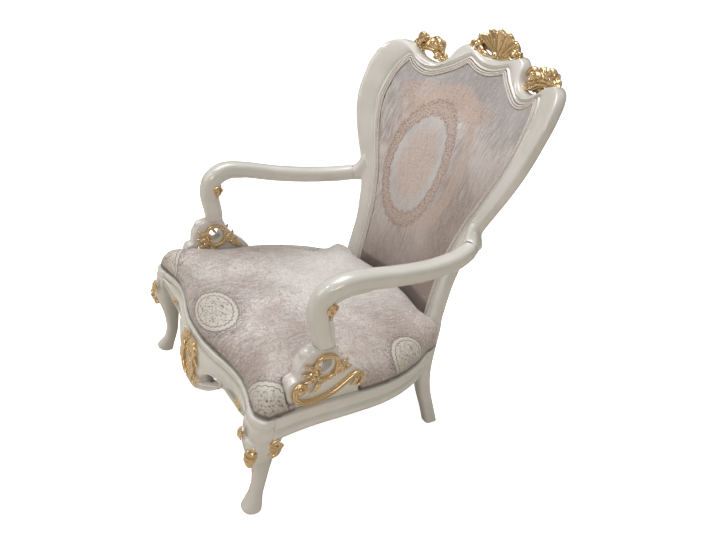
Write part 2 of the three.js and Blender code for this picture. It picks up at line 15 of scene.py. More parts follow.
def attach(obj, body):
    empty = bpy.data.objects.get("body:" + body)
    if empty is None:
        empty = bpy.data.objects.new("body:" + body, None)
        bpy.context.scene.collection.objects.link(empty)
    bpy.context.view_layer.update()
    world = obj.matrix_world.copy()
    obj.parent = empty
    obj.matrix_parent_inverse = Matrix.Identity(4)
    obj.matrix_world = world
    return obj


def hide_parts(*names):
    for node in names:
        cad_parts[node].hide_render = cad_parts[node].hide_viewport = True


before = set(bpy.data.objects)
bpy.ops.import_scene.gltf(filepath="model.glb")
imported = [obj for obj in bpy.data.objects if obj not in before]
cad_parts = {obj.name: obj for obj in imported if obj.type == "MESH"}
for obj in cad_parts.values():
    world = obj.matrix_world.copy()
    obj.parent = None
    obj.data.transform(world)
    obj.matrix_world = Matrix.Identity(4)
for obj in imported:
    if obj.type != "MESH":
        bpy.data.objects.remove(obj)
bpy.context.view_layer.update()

scene = bpy.context.scene
MIDDLE_Y = 52.0          # middle of the chair's depth in the maker's frame

# %% [markdown]
# The camera stands to the right of the chair, a little above head height, and looks down
# at it. Its place was found by matching the left and right halves of the chair.

# %% Camera
camera_data = bpy.data.cameras.new("camera")
camera = bpy.data.objects.new("camera", camera_data)
scene.collection.objects.link(camera)
scene.camera = camera
CAMERA_AT = Vector((1.2296, -0.9108, 1.2385))
ALONG = Vector((-0.69510, 0.56477, -0.44482))
RIGHT = Vector((0.53961, 0.81872, 0.19626))
UPWARD = Vector((-0.47503, 0.10361, 0.87385))
camera.matrix_world = Matrix((
    (RIGHT.x, UPWARD.x, -ALONG.x, CAMERA_AT.x),
    (RIGHT.y, UPWARD.y, -ALONG.y, CAMERA_AT.y),
    (RIGHT.z, UPWARD.z, -ALONG.z, CAMERA_AT.z),
    (0, 0, 0, 1),
))
camera_data.sensor_width = 36
camera_data.lens = 28.16
print("camera at", tuple(round(v, 3) for v in CAMERA_AT))

# %% [markdown]
# Curves first. Every moulded piece of the chair is a section swept along a line, so a few
# helpers do most of the work: a smooth curve through measured rows, and a loft through rings.

# %% Curves and lofts
def sizes(rows):
    """Smooth curve through rows of [position, value, value, ...]."""
    rows = np.array(rows, float)
    at, values = rows[:, 0], rows[:, 1:]
    slopes = np.empty_like(values)
    slopes[1:-1] = (values[2:] - values[:-2]) / (at[2:] - at[:-2])[:, None]
    slopes[0] = (values[1] - values[0]) / (at[1] - at[0])
    slopes[-1] = (values[-1] - values[-2]) / (at[-1] - at[-2])

    def curve(p):
        q = np.clip(np.atleast_1d(np.asarray(p, float)), at[0], at[-1])
        i = np.clip(np.searchsorted(at, q, side="right") - 1, 0, len(at) - 2)
        h = at[i + 1] - at[i]
        t = ((q - at[i]) / h)[:, None]
        h = h[:, None]
        a, b = values[i], values[i + 1]
        out = a + (b - a) * t * t * (3 - 2 * t)
        out += t * (1 - t) ** 2 * h * slopes[i] + t * t * (t - 1) * h * slopes[i + 1]
        return out if np.ndim(p) else out[0]

    return curve


def catmull(points, count):
    """Evenly spaced points on a smooth open curve through the given ones."""
    pts = np.array(points, float)
    steps = np.linalg.norm(np.diff(pts[:, :3], axis=0), axis=1) ** 0.5
    at = np.concatenate([[0], np.cumsum(steps)])
    curve = sizes(np.column_stack([at, pts]))
    fine = curve(np.linspace(0, at[-1], 40 * len(pts)))
    run = np.concatenate([[0], np.cumsum(np.linalg.norm(np.diff(fine[:, :3], axis=0), axis=1))])
    want = np.linspace(0, run[-1], count)
    return np.column_stack([np.interp(want, run, fine[:, k]) for k in range(pts.shape[1])])


def resample(loop, count):
    """Evenly spaced points round a closed outline."""
    closed = np.vstack([loop, loop[:1]])
    run = np.concatenate([[0], np.cumsum(np.linalg.norm(np.diff(closed, axis=0), axis=1))])
    want = np.linspace(0, run[-1], count, endpoint=False)
    return np.column_stack([np.interp(want, run, closed[:, k]) for k in (0, 1)])


def mirrored(right):
    """A whole outline from its right half, which starts and ends on the middle plane."""
    return np.concatenate([right, right[1:-1][::-1] * np.array([-1, 1])])


def read(curve, at):
    """The first value of a curve at one position."""
    return float(curve(at)[0])


def unit(v):
    return v / np.maximum(np.linalg.norm(v, axis=-1, keepdims=True), 1e-9)


def smoothstep(a, b, v):
    t = np.clip((np.asarray(v, float) - a) / (b - a), 0, 1)
    return t * t * (3 - 2 * t)


def loft(rings, caps=True):
    """Vertices and faces through rings, an array (rings, points, 3) in millimetres."""
    rings = np.asarray(rings, float)
    n_rings, n = rings.shape[:2]
    verts = rings.reshape(-1, 3)
    faces = []
    for i in range(n_rings - 1):
        for j in range(n):
            a, b = i * n + j, i * n + (j + 1) % n
            faces.append((a, b, b + n, a + n))
    if caps:
        faces.append(tuple(range(n - 1, -1, -1)))
        faces.append(tuple((n_rings - 1) * n + j for j in range(n)))
    return verts, faces


def tube(rows, stations, count, across=(1, 0, 0), square=2.0, start=None, end=None, crease=None):
    """A rod through rows of [x, y, z, half width, half height]; crease shapes its section."""
    line = catmull(rows, stations)
    p = line[:, :3]
    t = unit(np.gradient(p, axis=0))
    if start is not None:
        t[0] = start
    if end is not None:
        t[-1] = end
    across = np.asarray(across, float)
    side = unit(across - (t @ across)[:, None] * t)
    up = np.cross(t, side)
    angle = 2 * np.pi * (np.arange(count) + 0.5) / count
    c, s = np.cos(angle), np.sin(angle)
    reach = 1 / (np.abs(c) ** square + np.abs(s) ** square) ** (1 / square)
    if crease is not None:
        reach = reach[None] * crease(np.linspace(0, 1, stations)[:, None], angle[None])
    else:
        reach = np.repeat(reach[None], stations, 0)
    w, h = line[:, 3:4], line[:, 4:5]
    ring = p[:, None] + side[:, None] * (w * reach * c)[..., None]
    ring = ring + up[:, None] * (h * reach * s)[..., None]
    return loft(ring)


def join_parts(parts):
    """Several (vertices, faces) pairs in one."""
    verts, faces, base = [], [], 0
    for v, f in parts:
        verts.append(np.asarray(v, float))
        faces.extend(tuple(i + base for i in face) for face in f)
        base += len(v)
    return np.concatenate(verts), faces


def flip_x(part):
    v, f = part
    v = np.array(v, float)
    v[:, 0] *= -1
    return v, [tuple(reversed(face)) for face in f]


def make(name, part, smooth=True):
    """A Blender object from vertices in millimetres and faces, with its normals outward."""
    verts, faces = part
    verts = np.array(verts, float)
    verts[:, 1] -= MIDDLE_Y
    mesh = bpy.data.meshes.new(name)
    mesh.from_pydata((verts / 1000).tolist(), [], faces)
    work = bmesh.new()
    work.from_mesh(mesh)
    bmesh.ops.recalc_face_normals(work, faces=work.faces)
    work.to_mesh(mesh)
    work.free()
    for polygon in mesh.polygons:
        polygon.use_smooth = smooth
    piece = bpy.data.objects.new(name, mesh)
    scene.collection.objects.link(piece)
    return piece


def bake(piece):
    """Turns a piece's modifiers into its mesh."""
    graph = bpy.context.evaluated_depsgraph_get()
    mesh = bpy.data.meshes.new_from_object(piece.evaluated_get(graph))
    piece.modifiers.clear()
    piece.data = mesh
    for polygon in mesh.polygons:
        polygon.use_smooth = True
    return piece


def positions(piece):
    """The piece's vertices as an array, in metres."""
    at = np.empty(3 * len(piece.data.vertices))
    piece.data.vertices.foreach_get("co", at)
    return at.reshape(-1, 3)


def weigh(piece, name, weights):
    """A vertex group, with its weights rounded to quarters."""
    group = piece.vertex_groups.new(name=name)
    for weight in (.25, .5, .75, 1.0):
        chosen = np.nonzero(np.abs(weights - weight) <= .125)[0]
        group.add(chosen.tolist(), weight, "REPLACE")


def thin(piece, share):
    """Leaves a share of the triangles on a smooth skin, where fewer look the same."""
    piece.modifiers.new("thin", "DECIMATE").ratio = share
    return bake(piece)


def melt(piece, voxel, rounds, factor=0.5):
    """Melts overlapping forms into one skin, as carving has, and rounds it."""
    remesh = piece.modifiers.new("melt", "REMESH")
    remesh.mode = "VOXEL"
    remesh.voxel_size = voxel / 1000
    if rounds:
        soften = piece.modifiers.new("soften", "SMOOTH")
        soften.factor = factor
        soften.iterations = rounds
    return bake(piece)


def dress(piece, material, slot, *nodes):
    """Gives a piece its material, hangs it on the root body and hides the CAD parts it stands for."""
    piece.data.materials.clear()
    piece.data.materials.append(material)
    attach(piece, "root")
    if nodes:
        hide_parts(*nodes)
    return piece


def pair(name, part, material, slot, node, work=None):
    """The right piece and its mirror image; work(piece) finishes the shape of each."""
    for side, shape in (("right", part), ("left", flip_x(part))):
        piece = make(f"{name}_{side}", shape)
        if work:
            work(piece)
        dress(piece, material, slot, f"{node}_{side}")


print("helpers ready")

# %% [markdown]
# Materials. Every finish is built from nodes that read the piece's own shape and place, so it
# holds from any side. These helpers keep that short: feed() fills a socket, paint() lays one
# tint over another through masks, as a painter glazes.


# %% Shader helpers
def feed(tree, socket, value):
    """Sets a socket to a number, colour or vector, or links another node's output to it."""
    if isinstance(value, (int, float)):
        socket.default_value = value
    elif isinstance(value, tuple):
        socket.default_value = (*value, 1) if socket.type == "RGBA" else value
    else:
        tree.links.new(value, socket)


def group_of(name, outputs, **inputs):
    """An empty node group: inputs with their defaults, and outputs that are masks or values."""
    tree = bpy.data.node_groups.new(name, "ShaderNodeTree")
    for label, value in inputs.items():
        kind = "NodeSocketVector" if isinstance(value, tuple) else "NodeSocketFloat"
        socket = tree.interface.new_socket(name=label.replace("_", " "), in_out="INPUT", socket_type=kind)
        socket.default_value = value
    for label in outputs:
        tree.interface.new_socket(name=label, in_out="OUTPUT", socket_type="NodeSocketFloat")
    return tree, tree.nodes.new("NodeGroupInput").outputs, tree.nodes.new("NodeGroupOutput").inputs


def give(tree, sockets, **values):
    """Links a group's results to its outputs."""
    for label, value in values.items():
        tree.links.new(value, sockets[label])


def node(tree, kind, **values):
    """Adds a node; the values set its properties."""
    made = tree.nodes.new(kind)
    for key, value in values.items():
        setattr(made, key, value)
    return made


def filled(tree, made, *pairs):
    """Feeds a node's sockets by name and gives its first output."""
    for label, value in pairs:
        feed(tree, made.inputs[label], value)
    return made.outputs[0]


def math_node(tree, operation, *values):
    return filled(tree, node(tree, "ShaderNodeMath", operation=operation), *enumerate(values))


def vector_math(tree, operation, *values):
    return filled(tree, node(tree, "ShaderNodeVectorMath", operation=operation), *enumerate(values))


def product(tree, *values):
    """Values multiplied together."""
    out = values[0]
    for value in values[1:]:
        out = math_node(tree, "MULTIPLY", out, value)
    return out


def mix(tree, factor, a, b):
    """Colour a at factor 0 and colour b at 1."""
    made = node(tree, "ShaderNodeMix", data_type="RGBA")
    filled(tree, made, ("Factor", factor), (6, a), (7, b))
    return made.outputs[2]


def paint(tree, colour, *layers):
    """Lays tints over a colour; a layer is a tint, then the masks and strength it goes on with."""
    for tint, *shares in layers:
        colour = mix(tree, product(tree, *shares), colour, tint)
    return colour


def ramp(tree, value, low, high, start=0.0, end=1.0):
    """The start value at low and the end value at high, smooth between."""
    return filled(tree, node(tree, "ShaderNodeMapRange", interpolation_type="SMOOTHSTEP"), ("Value", value),
                  ("From Min", low), ("From Max", high), ("To Min", start), ("To Max", end))


def noise_node(tree, coordinates, scale, detail=3.0, rough=0.5):
    return filled(tree, node(tree, "ShaderNodeTexNoise"), ("Vector", coordinates), ("Scale", scale),
                  ("Detail", detail), ("Roughness", rough))


def split(tree, vector):
    made = node(tree, "ShaderNodeSeparateXYZ")
    feed(tree, made.inputs[0], vector)
    return made.outputs


def object_space(tree):
    return node(tree, "ShaderNodeTexCoord").outputs["Object"]


def material_of(name, roughness, metallic=0.0, coat=0.0, coat_roughness=0.1, sheen=0.0):
    """An empty Principled material; returns the material, its tree and its shader."""
    material = bpy.data.materials.new(name)
    material.use_nodes = True
    tree = material.node_tree
    shader = tree.nodes["Principled BSDF"]
    filled(tree, shader, ("Roughness", roughness), ("Metallic", metallic), ("Coat Weight", coat),
           ("Coat Roughness", coat_roughness), ("Sheen Weight", sheen))
    return material, tree, shader


def use(tree, group, **links):
    """Puts a node group in a material and gives its outputs."""
    made = node(tree, "ShaderNodeGroup", node_tree=group)
    filled(tree, made, *((key.replace("_", " "), value) for key, value in links.items()))
    return made.outputs


def bump(tree, shader, height, strength, distance):
    made = node(tree, "ShaderNodeBump")
    filled(tree, made, ("Strength", strength), ("Distance", distance), ("Height", height))
    tree.links.new(made.outputs["Normal"], shader.inputs["Normal"])


print("shader helpers ready")

# %% [markdown]
# Painted shade darkens the grooves, with some dirt in it, and the edges are made lighter, as rubbed
# and with a painted highlight. The mask comes from the mesh's own pointiness, broken up by noise.
# It is a group because lacquer and gold share it.

# %% Recess shade and grime group
NO_VECTOR = (0, 0, 0)
shade_and_grime, given, result = group_of("recess grime", ("Mask", "Edge", "Mottle"),
                                Vector=NO_VECTOR, Low=0.40, High=0.50, Scale=40.0)
pointed = node(shade_and_grime, "ShaderNodeNewGeometry").outputs["Pointiness"]
mottle = noise_node(shade_and_grime, given["Vector"], given["Scale"], 4)
wander = product(shade_and_grime, math_node(shade_and_grime, "SUBTRACT", mottle, 0.5), 0.10)
# Mask: painted shade in the recesses, with some dirt; Edge: lighter edges, rubbed and with a painted highlight
sunk = ramp(shade_and_grime, math_node(shade_and_grime, "ADD", pointed, wander), given["Low"], given["High"], 1, 0)
give(shade_and_grime, result, Mask=sunk, Edge=ramp(shade_and_grime, pointed, 0.52, 0.60), Mottle=mottle)
print("grime group ready")

# %% [markdown]
# The lacquer is an ivory paint under a clear glossy coat, in two close tones, with painted shade
# that makes it darker and browner in the recesses. A very low bump keeps the coat from looking like plastic.

# %% Ivory lacquer
IVORY, IVORY_WARM, IVORY_SHADE = (0.69, 0.69, 0.64), (0.765, 0.74, 0.71), (0.30, 0.25, 0.18)
lacquer, tree, shader = material_of("ivory_lacquer", 0.22, coat=0.8, coat_roughness=0.05)
place = object_space(tree)
shade_and_dirt = use(tree, shade_and_grime, Vector=place, Low=0.395, High=0.475, Scale=35.0)
tone = ramp(tree, noise_node(tree, place, 7), 0.40, 0.62)
# painted shade: the recess mask darkens and browns the ivory
filled(tree, shader,
       ("Base Color", paint(tree, IVORY, (IVORY_WARM, tone), (IVORY_SHADE, shade_and_dirt["Mask"], 0.65))),
       ("Roughness", math_node(tree, "ADD", product(tree, shade_and_dirt["Mottle"], 0.10), 0.14)))
bump(tree, shader, noise_node(tree, place, 30, 2), 0.04, 0.001)
print("lacquer ready")

# %% [markdown]
# The gilding is gold leaf over brown clay: bright at the edges, where it is rubbed and a highlight
# is painted, mottled on the flats, and dull and brown in the recesses, where there is more clay
# than metal and painted shade.

# %% Antique gold
GOLD, GOLD_RUBBED_HIGHLIGHT = (0.84, 0.64, 0.37), (1.0, 0.90, 0.68)
GOLD_BROWN, CLAY_AND_SHADE = (0.56, 0.38, 0.19), (0.06, 0.033, 0.015)
gilding, tree, shader = material_of("antique_gold", 0.3, metallic=0.8)
place = object_space(tree)
shade_and_dirt = use(tree, shade_and_grime, Vector=place, Low=0.41, High=0.515, Scale=120.0)
# the bright edges are rubbed leaf and a painted highlight; the brown recesses are clay and painted shade
filled(tree, shader,
       ("Base Color", paint(tree, GOLD, (GOLD_RUBBED_HIGHLIGHT, shade_and_dirt["Edge"]), (GOLD_BROWN, shade_and_dirt["Mottle"], 0.45),
                            (CLAY_AND_SHADE, shade_and_dirt["Mask"]))),
       ("Roughness", math_node(tree, "ADD", product(tree, shade_and_dirt["Mask"], 0.4), 0.2)),
       ("Metallic", math_node(tree, "SUBTRACT", 0.85, product(tree, shade_and_dirt["Mask"], 0.6))))
bump(tree, shader, noise_node(tree, place, 180, 2), 0.14, 0.0008)
print("gold ready")

# %% [markdown]
# The back frame. Each stile is one piece of beech with the rear leg: plain and square below
# the seat, moulded above it. The face of the moulding carries a bead along its inner edge,
# a groove, a soft hollow and a raised outer lip, so one section in millimetres is swept up
# the stile and on round the crest rail. The face bends with the hollow of the back.

# %% Back surface and its moulding
BACK_START, BACK_DEPTH, CREST_JOINT = 400.0, 48.0, 1000.0
SECTION_DEPTH, BEVEL = 48.0, 12.0      # the depth that the section below is drawn for


def back_y(x, z):
    """How far back the face of the back is: it leans, and is hollow across."""
    t = z - BACK_START
    return 318 + 0.02 * t + 2.35e-4 * t * t - 9e-4 * x * x


# inner edge (from the back forward), across the face, outer edge: width is kept in mm
INNER = [(10, 47.5), (3.5, 46), (.6, 43.5), (0, 40), (0, 26), (0, 12), (.5, 6.5), (2.0, 2.8),
         (4.4, 1.2), (6.6, 2.4), (8.4, 5.2), (9.6, 6.4), (11.2, 5.8), (13.6, 3.0), (17, .8)]
OUTER = [(16, .4), (12, 1.4), (9.4, 2.4), (7.2, 2.2), (4.6, 4.2), (2.2, 8.5), (.6, 15), (0, 26),
         (.6, 36), (4.5, 43), (12, 47)]


def moulding(inner, outer, front, depth, carved):
    """Ring of the frame's section between an inner and an outer edge point (x, z)."""
    inner, outer = np.array(inner, float), np.array(outer, float)
    wide = np.linalg.norm(outer - inner)
    across = (outer - inner) / wide
    field = INNER[-1][0]
    free = wide - field - OUTER[0][0]
    rows = INNER + [(field + free / 3, -.4), (field + 2 * free / 3, -.9)]
    rows += [(wide - u, d) for u, d in OUTER]
    rows += [(wide * .6, SECTION_DEPTH), (wide * .36, SECTION_DEPTH)]
    ring = []
    for u, d in rows:
        plain_u = min(max(u, 0), wide)
        edge = min(plain_u, wide - plain_u, BEVEL)
        bevel = BEVEL - math.sqrt(max(BEVEL ** 2 - (BEVEL - edge) ** 2, 0))
        plain = bevel if d < 26 else (d if d == 26 else SECTION_DEPTH - bevel)
        deep = (plain + (d - plain) * carved) * depth / SECTION_DEPTH
        x, z = inner + across * u
        face = back_y(x, z) if front is None else front * (1 - carved) + back_y(x, z) * carved
        ring.append((x, face + deep, z))
    return ring


# by height: inner edge, outer edge, front face below the seat, depth
POST = sizes([
    [0, 260, 297, 334, 48], [60, 254, 292, 308, 46], [125, 243, 284, 279, 47],
    [180, 231, 276, 264, 47], [235, 218, 268, 260, 47], [300, 205, 258, 266, 47],
    [350, 199, 252, 268, 48], [400, 197, 250, 270, 48], [460, 196, 247, 270, 48],
    [520, 197, 246, 270, 48], [580, 200, 253, 270, 48], [640, 211, 267, 270, 48],
    [700, 227, 288, 270, 48], [760, 250, 314, 270, 48], [820, 273, 342, 270, 48],
    [880, 292, 365, 270, 48], [940, 302, 378, 270, 48], [1000, 298, 381, 270, 48],
])


def post():
    """Rear leg and stile in one; two narrower rings hide its top inside the crest rail."""
    levels = np.concatenate([np.linspace(0, 350, 32), np.linspace(360, CREST_JOINT + .2, 62)])
    rings = []
    for z, (xi, xo, front, depth) in zip(levels, POST(levels)):
        carved = float(smoothstep(345, 405, z))
        rings.append(moulding((xi, z), (xo, z), front, depth, carved))
    for inside, z in ((.5, CREST_JOINT + 2), (1.2, CREST_JOINT + 4)):
        ring = moulding((xi + inside, z), (xo - inside, z), front, depth - 2 * inside, 1)
        rings.append([(x, y + inside, z) for x, y, z in ring])
    return loft(rings)


CREST_HALF = [
    (298, 1000, 381, 1000), (295, 1018, 381, 1024), (290, 1036, 377, 1050), (282, 1053, 370, 1076),
    (276, 1064, 358, 1095), (271, 1070, 340, 1108), (267, 1073, 318, 1114), (261, 1071, 291, 1110),
    (252, 1063, 270, 1099), (240, 1053, 252, 1086), (222, 1045, 230, 1077), (200, 1041, 206, 1073),
    (178, 1044, 182, 1075), (157, 1053, 163, 1084), (138, 1063, 151, 1097), (120, 1074, 143, 1113),
    (104, 1085, 137, 1129), (90, 1097, 126, 1142), (79, 1106, 109, 1150), (72, 1108, 90, 1152),
    (62, 1104, 72, 1146), (45, 1097, 50, 1136), (23, 1091, 25, 1130), (0, 1089, 0, 1128),
]
crest_curve = sizes([(i, *row) for i, row in enumerate(CREST_HALF)])


def crest():
    right = crest_curve(np.linspace(0, len(CREST_HALF) - 1, 5 * (len(CREST_HALF) - 1) + 1))
    right[0, 1] += .08
    right[0, 3] += .08
    left = right[:-1][::-1] * np.array([-1, 1, -1, 1])
    rows = np.concatenate([right, left])
    return loft([moulding((a, b), (c, d), None, BACK_DEPTH, 1) for a, b, c, d in rows], caps=False)


# %% [markdown]
# The arms. An arm leaves the stile in a short cove, sweeps forward and outward, curls over
# and comes down as an S-shaped support on the bracket. It is one rod of a soft, almost
# square section, and the support has a bead down its middle between two grooves.

# %% Arms and their stubs
ARM_HALF_WIDTH, ARM_HALF_HEIGHT, ARM_SQUARE = 25.0, 24.0, 2.7


def support_bead(along, angle):
    """Bead and groove along the concave corners of the arm's support."""
    mask = smoothstep(.585, .63, along) * (1 - smoothstep(.965, 1, along))
    shape = 0
    for corner in (1.72, 1.28):
        off = (angle - corner * np.pi + np.pi) % (2 * np.pi) - np.pi
        inner = off if corner > 1.5 else -off
        shape = shape + .10 * np.exp(-(inner / .12) ** 2) - .13 * np.exp(-((inner - .27) / .11) ** 2)
    return 1 + shape * mask


def arm_rod(rows, stations, **ends):
    """Rod of the arm's section; rows give x, y, z and shares of its usual half sizes."""
    rows = [(x, y, z, ARM_HALF_WIDTH * w, ARM_HALF_HEIGHT * h) for x, y, z, w, h in rows]
    return tube(rows, stations, 48, square=ARM_SQUARE, **ends)


def arm():
    return arm_rod([
        (303, 264.5, 663.2, .84, .93), (303.6, 261.7, 662.9, .9, 1), (324, 192, 650, 1, 1),
        (340, 93, 643, 1, 1), (350, -13, 645, 1, 1), (360, -120, 653, 1, 1), (361, -180, 649, 1, 1.05),
        (354, -220, 622, 1, 1.1), (350, -228, 580, 1, 1.13), (350, -213, 528, 1, 1.1),
        (358, -200, 487.4, .95, 1.08),
    ], 110, start=(0, -1, 0), end=(0, 0, -1), crease=support_bead)


def arm_stub():
    return arm_rod([
        (272, 306, 688, .8, 2.3), (280, 295, 681, .84, 1.75), (288, 284, 673, .88, 1.34),
        (295, 273, 667, .9, 1.1), (303, 262, 663, .9, 1),
    ], 14, end=(0, -1, 0))


JOINT_AT, JOINT_SHAPE = np.array([.292, .226, .672]), np.array([1, .9, .6])


def soften_joint(piece):
    """Melts the arm's stub into the stile and rounds the cove between them."""
    melt(piece, 2.0, 1)
    at = positions(piece)
    at[:, 0] = np.abs(at[:, 0])
    near = 1 - smoothstep(.034, .066, np.linalg.norm((at - JOINT_AT) * JOINT_SHAPE, axis=1))
    weigh(piece, "cove", near * smoothstep(.209, .216, at[:, 1]))
    soften = piece.modifiers.new("cove", "SMOOTH")
    soften.vertex_group, soften.iterations, soften.factor = "cove", 110, .5
    bake(piece)
    piece.vertex_groups.clear()
    thin(piece, .4)


pair("back_stile", join_parts([post(), arm_stub()]), lacquer, "lacquer", "back_post", work=soften_joint)
crest_rail = dress(make("crest", crest()), lacquer, "lacquer", "crest_rail")
pair("open_arm", arm(), lacquer, "lacquer", "arm")
print("back frame and arms made", len(crest_rail.data.vertices))

# %% [markdown]
# The seat rails. The front rail is serpentine in plan and deepens into a carved apron with
# two pierced slots; the side rails bow outward and carry a flat band, a groove and a bead.

# %% Seat rails
RAIL_TOP = 325.0
FRONT = sizes([[0, -381], [60, -377], [118, -366], [173, -352], [230, -344], [284, -350],
               [330, -363], [380, -371]])
SIDE = sizes([[-380, 392], [-338, 398], [-300, 396], [-250, 391], [-200, 388], [-77, 387], [0, 384],
              [64, 374], [110, 361], [163, 341], [198, 321], [221, 306], [262, 272]])
APRON = sizes([[0, 148], [35, 152], [65, 168], [100, 188], [127, 210], [152, 236], [172, 243],
               [205, 236], [240, 237], [270, 245], [298, 262], [326, 280]])


# the front rail's section: how far behind its face, and how far down from the top ...
APRON_TOP = [(3, 0), (.6, 1.5), (-.4, 5), (-.8, 13), (-.2, 17), (2.2, 19), (2.0, 21.5), (-.8, 24)]
# ... as a share of the drop ...
APRON_FIELD = [(-3.2, .34), (-5, .48), (-4.2, .62)]
# ... and up from the rolled lower edge
APRON_EDGE = [(-1.5, 18), (1.6, 13), (2.4, 10.5), (0, 8), (-1.2, 4.5), (1, 1.2), (5, 0), (18, 0),
              (30, 0), (33.4, 2), (34, 6)]
RAIL_THICK = 34.0


def front_rail():
    """Flat band, groove, bulging field and rolled lower edge, swept along the serpentine front."""
    rings = []
    for x in np.linspace(-325.7, 325.7, 161):
        y, low = read(FRONT, abs(x)), read(APRON, abs(x))
        drop = RAIL_TOP - low
        rows = [(a, RAIL_TOP - b) for a, b in APRON_TOP] + [(a, RAIL_TOP - b * drop) for a, b in APRON_FIELD]
        rows += [(a, low + b) for a, b in APRON_EDGE]
        rows += [(RAIL_THICK, low + .5 * drop), (RAIL_THICK, RAIL_TOP - 6), (RAIL_THICK, RAIL_TOP)]
        rings.append([(x, y + a, b) for a, b in rows])
    return loft(rings)


SLOT_X, SLOT_Z, LENS_X, LENS_Z = 112.0, 238.0, 216.0, 262.0


def slot_outline(side, grow=0.0, count=40):
    """Crescent slot pierced through the apron, as (x, z) points."""
    a = 2 * np.pi * np.arange(count) / count
    u = (48 + grow) * np.cos(a)
    v = (14 + grow) * np.sin(a) - 8 * np.cos(a) ** 2
    return np.column_stack([side * (SLOT_X + .86 * u - .5 * v), SLOT_Z + .5 * u + .86 * v])


def lens_outline(side):
    """The shallow recess in the apron's second lobe."""
    a = 2 * np.pi * np.arange(28) / 28
    u, v = 27 * np.cos(a), 10 * np.sin(a) + 4 * np.cos(a) ** 2
    return np.column_stack([side * (LENS_X + .96 * u - .2 * v), LENS_Z + .2 * u + .96 * v])


def through(outline, y0, y1):
    """A cutter of (x, z) outline from y0 to y1."""
    return loft([[(x, y, z) for x, z in outline] for y in (y0, y1)])


def slot_rim(side):
    """Raised round edge of a slot."""
    rim = []
    for x, z in slot_outline(side, 3.2, 60):
        y = read(FRONT, abs(x)) - 3.2
        out = unit(np.array([x - side * SLOT_X, z - SLOT_Z]))
        rim.append([(x + out[0] * 3.4 * math.cos(b), y + 3.2 * math.sin(b), z + out[1] * 3.4 * math.cos(b))
                    for b in np.linspace(0, 2 * math.pi, 10, endpoint=False)])
    return loft(rim + [rim[0]], caps=False)


def cut_with(piece, part):
    """Cuts a shape out of a piece and leaves no tool behind."""
    tool = make("tool", part, smooth=False)
    cutter = piece.modifiers.new("cut", "BOOLEAN")
    cutter.object, cutter.operation, cutter.solver = tool, "DIFFERENCE", "EXACT"
    bake(piece)
    bpy.data.objects.remove(tool)


front = make("front_seat_rail", front_rail())
for side in (1, -1):
    cut_with(front, through(slot_outline(side), -420, -310))
for side in (1, -1):
    cut_with(front, through(lens_outline(side), -400, read(FRONT, LENS_X) + 15))
rim_piece = make("rims", join_parts([slot_rim(1), slot_rim(-1)]))
with bpy.context.temp_override(active_object=front, selected_editable_objects=[front, rim_piece]):
    bpy.ops.object.join()
dress(front, lacquer, "lacquer", "front_rail")

# the side rail's section: how far outward of its line, and the height
SIDE_SECTION = [(-3, 325), (-.8, 324), (.2, 321), (.6, 312), (1.2, 301), (1.0, 293), (-1.4, 290.4),
                (-1.2, 288.2), (2.0, 286), (4.2, 281), (5.0, 275), (4.4, 269), (2.2, 264.6),
                (-2, 263), (-16, 263)]


def side_rail():
    rings = []
    for y in np.linspace(-321.7, 262, 90):
        x = read(SIDE, y)
        slope = (read(SIDE, y + 1) - read(SIDE, y - 1)) / 2
        inside = x - RAIL_THICK * math.hypot(1, slope)
        rows = [(x + a, b) for a, b in SIDE_SECTION]
        rows += [(inside + 5, 263), (inside, 268), (inside, 296), (inside, 325)]
        rings.append([(a, y, b) for a, b in rows])
    return loft(rings)


pair("bowed_seat_rail", side_rail(), lacquer, "lacquer", "side_rail")
# the rear rail is a plain board, so its CAD node stays and only gets the lacquer
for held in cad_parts["rear_rail"].material_slots:
    held.material = lacquer
print("rails made", len(front.data.vertices))

# %% [markdown]
# The cabriole legs. A leg swells at the knee, narrows at the ankle and ends in a small
# scrolled foot; its block at the top carries both rails on round the corner. The forms are
# lofted, then melted into one skin, as the carver leaves no line between them.

# %% Front legs
# by height: middle x and y, then half sizes outward, inward, forward and to the rear
LEG = sizes([
    [0, 362, -325, 22, 17, 22, 17], [10, 363, -327, 29, 20, 31, 20], [24, 362, -326, 25, 20, 28, 21],
    [48, 358, -321, 17, 18, 19, 19], [85, 356, -318, 16, 17, 16, 21], [125, 359, -322, 17, 19, 17, 26],
    [165, 363, -329, 21, 23, 22, 33], [205, 367, -337, 28, 28, 31, 43],
    [245, 368, -340, 32, 36, 40, 56], [264, 366, -338, 31, 40, 40, 62],
])
CORNER_X, CORNER_Y = 326.0, -322.0


def leg():
    rings = []
    for z in np.linspace(0, 262, 90):
        cx, cy, outward, inward, forward, rearward = LEG(z)
        edge = .05 * float(smoothstep(40, 150, z))
        ring = []
        for a in 2 * np.pi * (np.arange(48) + .5) / 48:
            c, s = math.cos(a), math.sin(a)
            reach = 1 / (abs(c) ** 2.5 + abs(s) ** 2.5) ** (1 / 2.5)
            off = (a - 1.75 * math.pi + math.pi) % (2 * math.pi) - math.pi
            reach *= 1 + edge * math.exp(-(off / .22) ** 2)
            ring.append((cx + reach * c * (outward if c > 0 else inward),
                         cy + reach * s * (rearward if s > 0 else forward), z))
        rings.append(ring)
    return loft(rings)


# by depth below the rail's top: how far the block stands out
BLOCK_ROWS = sizes([[0, 0], [4, 2.5], [14, 3.6], [19, 3.8], [20.5, 1.4], [22.5, 1.2], [26, 5.4],
                    [44, 6.0], [63, 4], [75, -6]])


